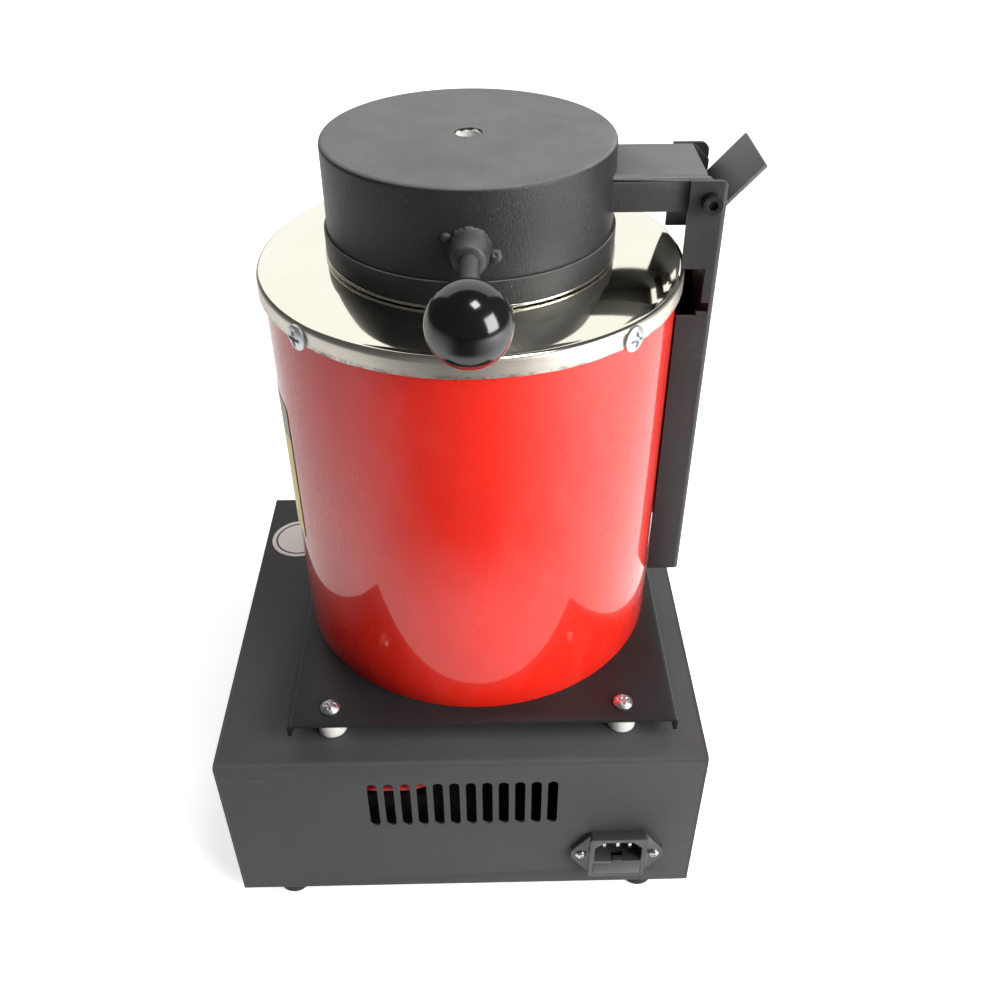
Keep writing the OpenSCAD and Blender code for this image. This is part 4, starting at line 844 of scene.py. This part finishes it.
def make_lid_fibre():
    """Packed fibre: a turned block whose hole is torn, its radius changed by waves of angle and height.
    A ragged lip of it stands up inside the hole of the sheet."""
    low, high = span("lid_fibre")
    lip = LID_HIGH - 0.5
    corners = [(5.2, low), (40, low), (40, LID_LOW), (62.7, LID_LOW), (62.7, high), (5.75, high),
               (5.7, lip), (4.9, lip)]
    wall = softened(corners, np.array([1, 1.5, 0.2, 0.3, 0.3, 0.2, 0.3, 0.5]), 5)
    hole_r, hole_rows = 4.9, 40
    hole = np.column_stack([np.full(hole_rows, hole_r), np.linspace(lip - 0.5, low + 1.0, hole_rows)])
    grid = turned(np.concatenate([wall, hole]), 160)
    r, a = polar(grid)
    z = grid[..., 2]
    torn = 0.2 * np.sin(5 * a + z) + 0.14 * np.sin(11 * a - 1.7 * z) + 0.08 * rng.standard_normal(a.shape)
    factor = np.where(r < 5.5, 1 + np.minimum(torn, 0.35) / 6, 1)
    ragged = 0.35 * np.sin(3 * a + 0.6) + 0.25 * np.sin(8 * a) + 0.12 * rng.standard_normal(a.shape)
    grid[..., 2] += np.where((r < 6) & (z > high + 0.4), np.minimum(ragged - 0.3, 0.2), 0)
    grid[..., :2] *= factor[..., None]
    return skin("lid_packing", from_axis(grid))


stand_in("lid_packing", make_lid_fibre(), "lid_fibre", FIBRE, sharp=60)


# Handle
HANDLE_BORE_R = HANDLE_ROD_R + 0.05


def from_handle(points):
    """Points turned about the handle's axis, which points along +X from the furnace axis."""
    return from_axis(aimed(points, (0, 0, HANDLE_Z), (1, 0, 0)))


def make_bead(y, z, size, crater):
    """A weld drop: a sphere squashed towards the lid, with lumps and a small crater in its middle."""
    u = np.linspace(0, np.pi, 25)[:, None]
    v = np.linspace(0, 2 * np.pi, 36, endpoint=False)[None, :]
    lumps = 1 + 0.04 * np.sin(2 * v + u * 2) * np.sin(u) - crater * np.exp(-(u / 0.2) ** 2)
    radius = size * lumps
    points = np.stack([radius * np.sin(u) * np.cos(v), radius * np.sin(u) * np.sin(v),
                       0.8 * radius * np.cos(u) + 0 * v], -1)
    wall = math.sqrt(LID_R ** 2 - y ** 2)
    return skin("bead", from_axis(aimed(points, (wall, y, HANDLE_Z + z), (1, 0.05, 0.5))), close_rows=False)


def make_boss():
    """The boss with a fillet of weld at its foot, which follows the lid's round wall."""
    start, end = LID_R - 1.0, LID_R + 14
    corners = [(HANDLE_BORE_R, start), (9.6, start), (8.25, start + 2.2), (8, end - 5), (6.6, end - 1),
               (HANDLE_BORE_R, end)]
    grid = turned(softened(corners, np.array([0, 0.4, 1.5, 3, 2, 0.2]), 8), 96)
    _, a = polar(grid)
    foot = grid[..., 2] < start + 2.3
    grid[..., :2] *= np.where(foot, 1 + 0.02 * np.sin(9 * a) + 0.015 * np.sin(23 * a), 1)[..., None]
    sink = LID_R - np.sqrt(LID_R ** 2 - grid[..., 0] ** 2)
    grid[..., 2] -= np.where(foot, sink, 0)
    return skin("boss", from_handle(grid))


beads = [make_bead(10.2, -3.6, 3.1, 0.3), make_bead(-9, 4.2, 2.3, 0.0)]
stand_in("boss_and_welds", joined("boss_and_welds", [make_boss(), *beads]), "handle_boss", HANDLE_PAINT)
rod_profile = disc_profile(HANDLE_ROD_R, LID_R + 0.2, KNOB_REACH - 1, 0.4)
round_piece("rod", "handle_rod", HANDLE_PAINT, rod_profile, 64, from_handle, closed=False)


def ball_profile():
    """A sphere with a small flat round the rod and a faint mould line round its middle."""
    flat_angle, line_depth, line_angle = 0.42, 0.03, 0.012
    a = np.linspace(np.pi - flat_angle, 0, 90)
    radius = KNOB_R - line_depth * np.exp(-((a - np.pi / 2) / line_angle) ** 2)
    outside = np.column_stack([radius * np.sin(a), KNOB_REACH + radius * np.cos(a)])
    inside = [(0, KNOB_REACH), (HANDLE_BORE_R, KNOB_REACH), (HANDLE_BORE_R, KNOB_REACH - 14.4),
              (HANDLE_BORE_R + 0.25, outside[0, 1])]
    return np.concatenate([inside, outside])


round_piece("ball", "ball_knob", BALL_RESIN, ball_profile(), 128, from_handle, closed=False)


# Label and sticker
LABEL_WIDTH = 84
STICKER_R = 17.5
STICKER_SPOT = [-68, -104, 0]


def make_label():
    """A patch of film on the shell: (r cos a, r sin a, z), lifted by its thickness, with rounded corners."""
    half = LABEL_WIDTH / (2 * SHELL_R)
    corner_r = 2.0
    corner = corner_r / SHELL_R
    low, high = span("blank_label")
    a = np.linspace(-half, half, 60) - math.pi / 2
    sheets = []
    for radius in (SHELL_R + 0.06, SHELL_R + 0.34):
        drawn = np.clip((np.abs(a + math.pi / 2) - (half - corner)) / corner, 0, 1)
        lift = corner_r * (1 - np.sqrt(np.clip(1 - drawn ** 2, 0, 1)))
        z = np.stack([low + lift, high - lift])
        sheets.append(np.stack([radius * np.cos(a) + 0 * z, radius * np.sin(a) + 0 * z, z], -1))
    grid = np.stack([sheets[0][0], sheets[1][0], sheets[1][1], sheets[0][1]])
    ends = [np.repeat(grid[:, k:k + 1].mean(0, keepdims=True), 4, 0) for k in (0, -1)]
    return skin("film", from_axis(np.concatenate([ends[0], grid, ends[1]], 1)), close_columns=False)


stand_in("label_film", make_label(), "blank_label", LABEL_FILM)
sticker_profile = disc_profile(STICKER_R, *span("round_sticker"), 0.1)
round_piece("sticker_film", "round_sticker", STICKER_FILM, sticker_profile, 96,
            lambda points: from_box(points + STICKER_SPOT), closed=False)


# Controller: a frame on the panel's front, x to the right, y up and z towards the operator
def from_front(points, x, z):
    """Points in front of the panel, measured from a spot at x and at height z on its face."""
    return from_box(aimed(points, (x, -BOX_DEPTH / 2, z), (0, -1, 0)))


def from_controller(points):
    """Points measured from the middle of the controller's face."""
    return from_front(points, CONTROLLER_X, CONTROLLER_Z)


def rounded_outline(width, height, radius):
    """A rectangle with rounded corners."""
    w, h = width / 2, height / 2
    return softened([(-w, -h), (w, -h), (w, h), (-w, h)], radius, 6)


KEY_ROW, KEY_GAP = -21, 14.5
KEY_FACE = rounded_outline(9.5, 6, 1.2)
KEY_FLANGE = rounded_outline(12, 8.5, 0.4)
KEY_RINGS = [(KEY_FLANGE * 0, 2.4), (KEY_FLANGE, 2.4), (KEY_FLANGE, 3.9), (KEY_FACE, 3.9),
             (KEY_FACE, 7.3), (KEY_FACE * 0.96, 7.6), (KEY_FACE * 0.85, 7.7), (KEY_FACE * 0.5, 7.74),
             (KEY_FACE * 0, 7.75)]


def make_key(x, mark):
    """A key with a flange and a domed top, and a raised mark on it."""
    cap = stacked(KEY_RINGS) + [x, KEY_ROW, 0]
    sign = prism("mark", np.asarray(mark) + [x, KEY_ROW], 7.6, 7.8, 0.04)
    return skin("cap", from_controller(cap), close_rows=False), moved(sign, from_controller)


disc_mark = [(0.9 * math.cos(a), 0.9 * math.sin(a)) for a in np.linspace(0, 2 * np.pi, 24, endpoint=False)]
MARKS = {
    "key_set": disc_mark,
    "key_shift": [(-1.4, 0), (0.9, -1.3), (0.9, 1.3)],
    "key_down": [(-1.4, 0.9), (0, -1.3), (1.4, 0.9)],
    "key_up": [(-1.4, -0.9), (1.4, -0.9), (0, 1.3)],
}
for index, (node, mark) in enumerate(MARKS.items()):
    cap_mesh, sign_mesh = make_key((index - 1.5) * KEY_GAP, mark)
    stand_in(node + "_cap", cap_mesh, node, KEY_PLASTIC)
    show(node + "_mark", sign_mesh, BODY_OF[node], MARK_WHITE)


# Seven-bar digits behind the window, unlit
def bar(x, y, extent, upright, width):
    """A six-sided bar with pointed ends."""
    half, side = extent / 2, width / 2
    shape = np.array([(-half, 0), (side - half, -side), (half - side, -side), (half, 0),
                      (half - side, side), (side - half, side)])
    return (shape[:, ::-1] if upright else shape) + [x, y]


def digit(x, y, height):
    """The seven bars of one digit."""
    wide, part = height * 0.5, height / 2
    flat = [bar(x, y + k * part, wide * 0.86, False, height * 0.1) for k in (-1, 0, 1)]
    tall = [bar(x + i * wide / 2, y + k * part / 2, part * 0.86, True, height * 0.1)
            for i in (-1, 1) for k in (-1, 1)]
    return flat + tall


def make_digits(name, y, height, gap):
    """A row of four digits, as thin raised bars."""
    bars = [b for k in range(4) for b in digit((k - 1.5) * gap + 3, y, height)]
    return moved(joined(name, [prism("bar", b, 5.21, 5.4, 0.03) for b in bars]), from_controller)


def bar_colour(name, dull, bright):
    """Tinted resin of a display bar that isn't lit."""
    return coated(name, dull, bright, (0.3, 0.4), 0.5, 0.01, scuffs=0.0)


DIGIT_RED = bar_colour("unlit_red_bars", (0.25, 0.06, 0.05), (0.3, 0.08, 0.06))
DIGIT_GREEN = bar_colour("unlit_green_bars", (0.07, 0.2, 0.07), (0.09, 0.24, 0.09))
for row, colour, y, height, gap in (("upper_digits", DIGIT_RED, 17.5, 9.5, 9.5),
                                    ("lower_digits", DIGIT_GREEN, 4, 7.5, 7.8)):
    show(row, make_digits(row, y, height, gap), "furnace", colour)


# Marks on the rocker: a bar at the end that switches on and a ring at the other
ROCKER_TILT = math.radians(10)
ROCKER_PIN = -0.524
ROCKER_FACE, ROCKER_SLOPE = 3.8, 0.1447
MARK_HEIGHT, MARK_Y = 0.08, 6.2


def from_rocker(points, middle_y):
    """Flat points lifted onto a sloping half of the rocker's face, z = face + slope |y|.
    They are turned by its tilt about its pin, whose height over the panel is ROCKER_PIN."""
    flat_y = points[..., 1] + middle_y
    lifted = ROCKER_FACE + ROCKER_SLOPE * np.abs(flat_y) + points[..., 2]
    y = flat_y * math.cos(ROCKER_TILT) - lifted * math.sin(ROCKER_TILT)
    z = flat_y * math.sin(ROCKER_TILT) + lifted * math.cos(ROCKER_TILT)
    return from_front(np.stack([points[..., 0], y, z + ROCKER_PIN], -1), SWITCH_X, SWITCH_Z)


ring_mark = turned(ring_profile(2.3, 1.7, 0, MARK_HEIGHT, 0.03), 40)
line_corners = [(-0.35, -2.2), (0.35, -2.2), (0.35, 2.2), (-0.35, 2.2)]
line_mark = prism("line_mark", line_corners, 0.0, MARK_HEIGHT, 0.02)
moved(line_mark, lambda points: from_rocker(points, MARK_Y))
marks = joined("rocker_marks", [skin("ring_mark", from_rocker(ring_mark, -MARK_Y)), line_mark])
show("rocker_marks", marks, "rocker", MARK_WHITE)


# Wires inside the box, which show behind the slots
def wire_end(point, direction):
    """The first points of a wire: a little off the terminal, then straight away from it."""
    point, direction = np.asarray(point, float), np.asarray(direction, float)
    return [point + 0.3 * direction, point + 8.0 * direction]


def make_wires(name, routes, radius):
    """Round wires along smoothed routes."""
    return joined(name, [tube("wire", from_box(smoothed(route, 2)), radius * MM, 20) for route in routes])


DOWN = (0, 0, -1)
ROD_END = span("element_rods")[0]
REAR_WIRE = wire_end((-10, 50.7, ROD_END), DOWN) + [
    (-16, 58, 89), (-28, 68, 93), (-38, 72, 91), (-38, 72, 80.7), (-38, 72, 73)]
FRONT_WIRE = wire_end((-10, -39, ROD_END), DOWN) + [
    (2, -38, 93), (24, -32, 96), (54, -20, 98), (84, -12, 98), (100, -12, 94), (105.5, -22, 91),
    (105.5, -48, 91), (98, -58, 84), (78, -54, 62), (56, -52.5, 42.7), (56, -52.5, 27)]
INLET_WIRE = wire_end((84, 90, 43.5), (-1, 0, 0)) + [
    (66, 78, 36), (66, 30, 28), (62, 0, 36), (56, -22.5, 42.7), (56, -22.5, 27)]
SWITCH_WIRE = wire_end((67, -94.4, SWITCH_Z + 7), (0, 1, 0)) + [
    (66, -80, 58), (56, -67.5, 42.7), (56, -67.5, 27)]
heater_wires = make_wires("heater_wires", (REAR_WIRE, FRONT_WIRE), 1.8)
stand_in("heater_wires", heater_wires, "red_leads", RED_SILICONE)
inlet_wires = make_wires("inlet_wires", (INLET_WIRE, SWITCH_WIRE), 1.5)
stand_in("inlet_wires", inlet_wires, "mains_leads", BLACK_SLEEVE)


# Fuses: glass tubes along Y with a nickel cap at each end
FUSE_X = BOX_WIDTH / 2 + 6
FUSE_Y, FUSE_Z = 83, middle("fuses")[2]
CAPS = [(2.6, side * 10, side * 5) for side in (-1, 1)]
TUBES = [(2.45, -4.9, 4.9)]


def make_fuse_parts(name, pieces):
    """The same round pieces, of (radius, low, high), on both fuses in the drawer."""
    meshes = []
    for depth in (6, 13):
        centre = (FUSE_X - depth, FUSE_Y, FUSE_Z)
        for radius, low, high in pieces:
            points = aimed(turned(disc_profile(radius, low, high, 0.2), 48), centre, (0, 1, 0))
            meshes.append(skin("fuse", from_box(points), close_rows=False))
    return joined(name, meshes)


stand_in("fuse_tubes", make_fuse_parts("fuse_tubes", TUBES), "fuses", TUBE_GLASS)
show("fuse_caps", make_fuse_parts("fuse_caps", CAPS), "drawer", NICKEL)


# Floor, light and camera
def build_floor():
    """Pale paper. In reflections only, it is painted darker in front, where the camera stands, and painted
    brighter on the left.
    """
    material, place = new_finish("pale_floor", Specular_IOR_Level=0.2, Emission_Color=(1, 1, 1, 1))
    cloud = noise(place, 300, 3.0)
    base = blend(ramp(cloud, 0.3, 0.7), (0.94, 0.94, 0.94), (0.95, 0.95, 0.95))
    x, y, _ = split(place)
    heading = maths("ARCTAN2", y, x)
    left = ramp(heading, math.radians(-66), math.radians(-20), smooth=True)
    right = ramp(heading, math.radians(8), math.radians(68), 1.0, 0.0)
    reach = length(place)
    away = ramp(reach, 0.25, 0.38, 0.08, 1.0, smooth=True)
    rays = material.node_tree.nodes.new("ShaderNodeLightPath").outputs
    # Painted shade: reflections see the floor dark in front.
    front = times(times(left, right), away)
    base = blend(times(front, rays["Is Glossy Ray"]), base, (0.07, 0.07, 0.07))
    glow = ramp(reach, 0.3, 2.5, 0.55, 1.0)
    seen = times(rays["Is Camera Ray"], glow)
    # Painted light: reflections see the floor glow on the left.
    lit_left = times(ramp(heading, math.radians(-70), math.radians(-30), 0.12, 0.0),
                     maths("SUBTRACT", 1.0, front))
    mirrored = times(rays["Is Glossy Ray"], lit_left)
    return set_surface(material, base, varied(cloud, 0.8, 0.9), Emission_Strength=plus(seen, mirrored))


floor_mesh = bpy.data.meshes.new("floor")
floor_mesh.from_pydata([(-4, -4, 0), (4, -4, 0), (4, 4, 0), (-4, 4, 0)], [], [(0, 1, 2, 3)])
floor_mesh.materials.append(build_floor())
floor = bpy.data.objects.new("floor", floor_mesh)
bpy.context.scene.collection.objects.link(floor)


def build_world():
    """A dim room, which the camera itself sees as a white backdrop."""
    world = bpy.data.worlds.new("studio")
    world.use_nodes = True
    tree = world.node_tree
    background = tree.nodes["Background"]
    background.inputs["Color"].default_value = (1.0, 1.0, 1.0, 1.0)
    seen = tree.nodes.new("ShaderNodeLightPath").outputs["Is Camera Ray"]
    room, backdrop = 0.08, 1.0
    tree.links.new(ramp(seen, 0.0, 1.0, room, backdrop), background.inputs["Strength"])
    return world


bpy.context.scene.world = build_world()
bpy.context.scene.view_settings.view_transform = "Standard"


def softbox(name, place, target_z, width, height, radiance, mirrored=True):
    """A rectangular lamp of a given radiance, aimed at a height on the Z axis.
    Its power is pi times the radiance and the area. Reflections leave it out if mirrored is False."""
    lamp = bpy.data.lights.new(name, "AREA")
    lamp.shape, lamp.size, lamp.size_y = "RECTANGLE", width, height
    lamp.energy = math.pi * radiance * (width * height)
    holder = bpy.data.objects.new(name, lamp)
    holder.location = place
    ahead = Vector((0, 0, target_z)) - holder.location
    holder.rotation_euler = ahead.to_track_quat("-Z", "Y").to_euler()
    holder.visible_glossy = mirrored
    bpy.context.scene.collection.objects.link(holder)


softbox("back_wall", (-1.6, 0, 1.3), 0.25, 3.4, 2.2, 0.95)
softbox("ceiling_lamp", (0.45, 0.47, 2.0), 0.2, 0.5, 0.5, 11.0)
softbox("right_window", (0.74, 1.28, 0.74), 0.3, 0.8, 0.9, 8.5)
softbox("left_fill", (-0.6, -1.2, 1.2), 0.2, 1.2, 1.0, 1.3, mirrored=False)
softbox("front_fill", (0.73, 1.18, 0.85), 0.2, 1.4, 1.3, 4.9, mirrored=False)


def place_camera():
    """A camera at +X that looks back and down at the object, fitted to the edges in the photograph.
    heading turns it about Z, tilt is its angle from straight down, and roll is its slight slant."""
    heading, tilt, roll = (math.radians(angle) for angle in (88.883, 52.024, -0.187))
    turn = Matrix.Rotation(heading, 4, "Z") @ Matrix.Rotation(tilt, 4, "X") @ Matrix.Rotation(roll, 4, "Z")
    camera = bpy.data.objects.new("camera", bpy.data.cameras.new("camera"))
    camera.data.lens = 37.195
    camera.data.sensor_width = 36
    camera.data.clip_start = 0.02
    camera.matrix_world = Matrix.Translation(from_box([438.104, 13.364, 538.819])) @ turn
    bpy.context.scene.collection.objects.link(camera)
    bpy.context.scene.camera = camera


place_camera()
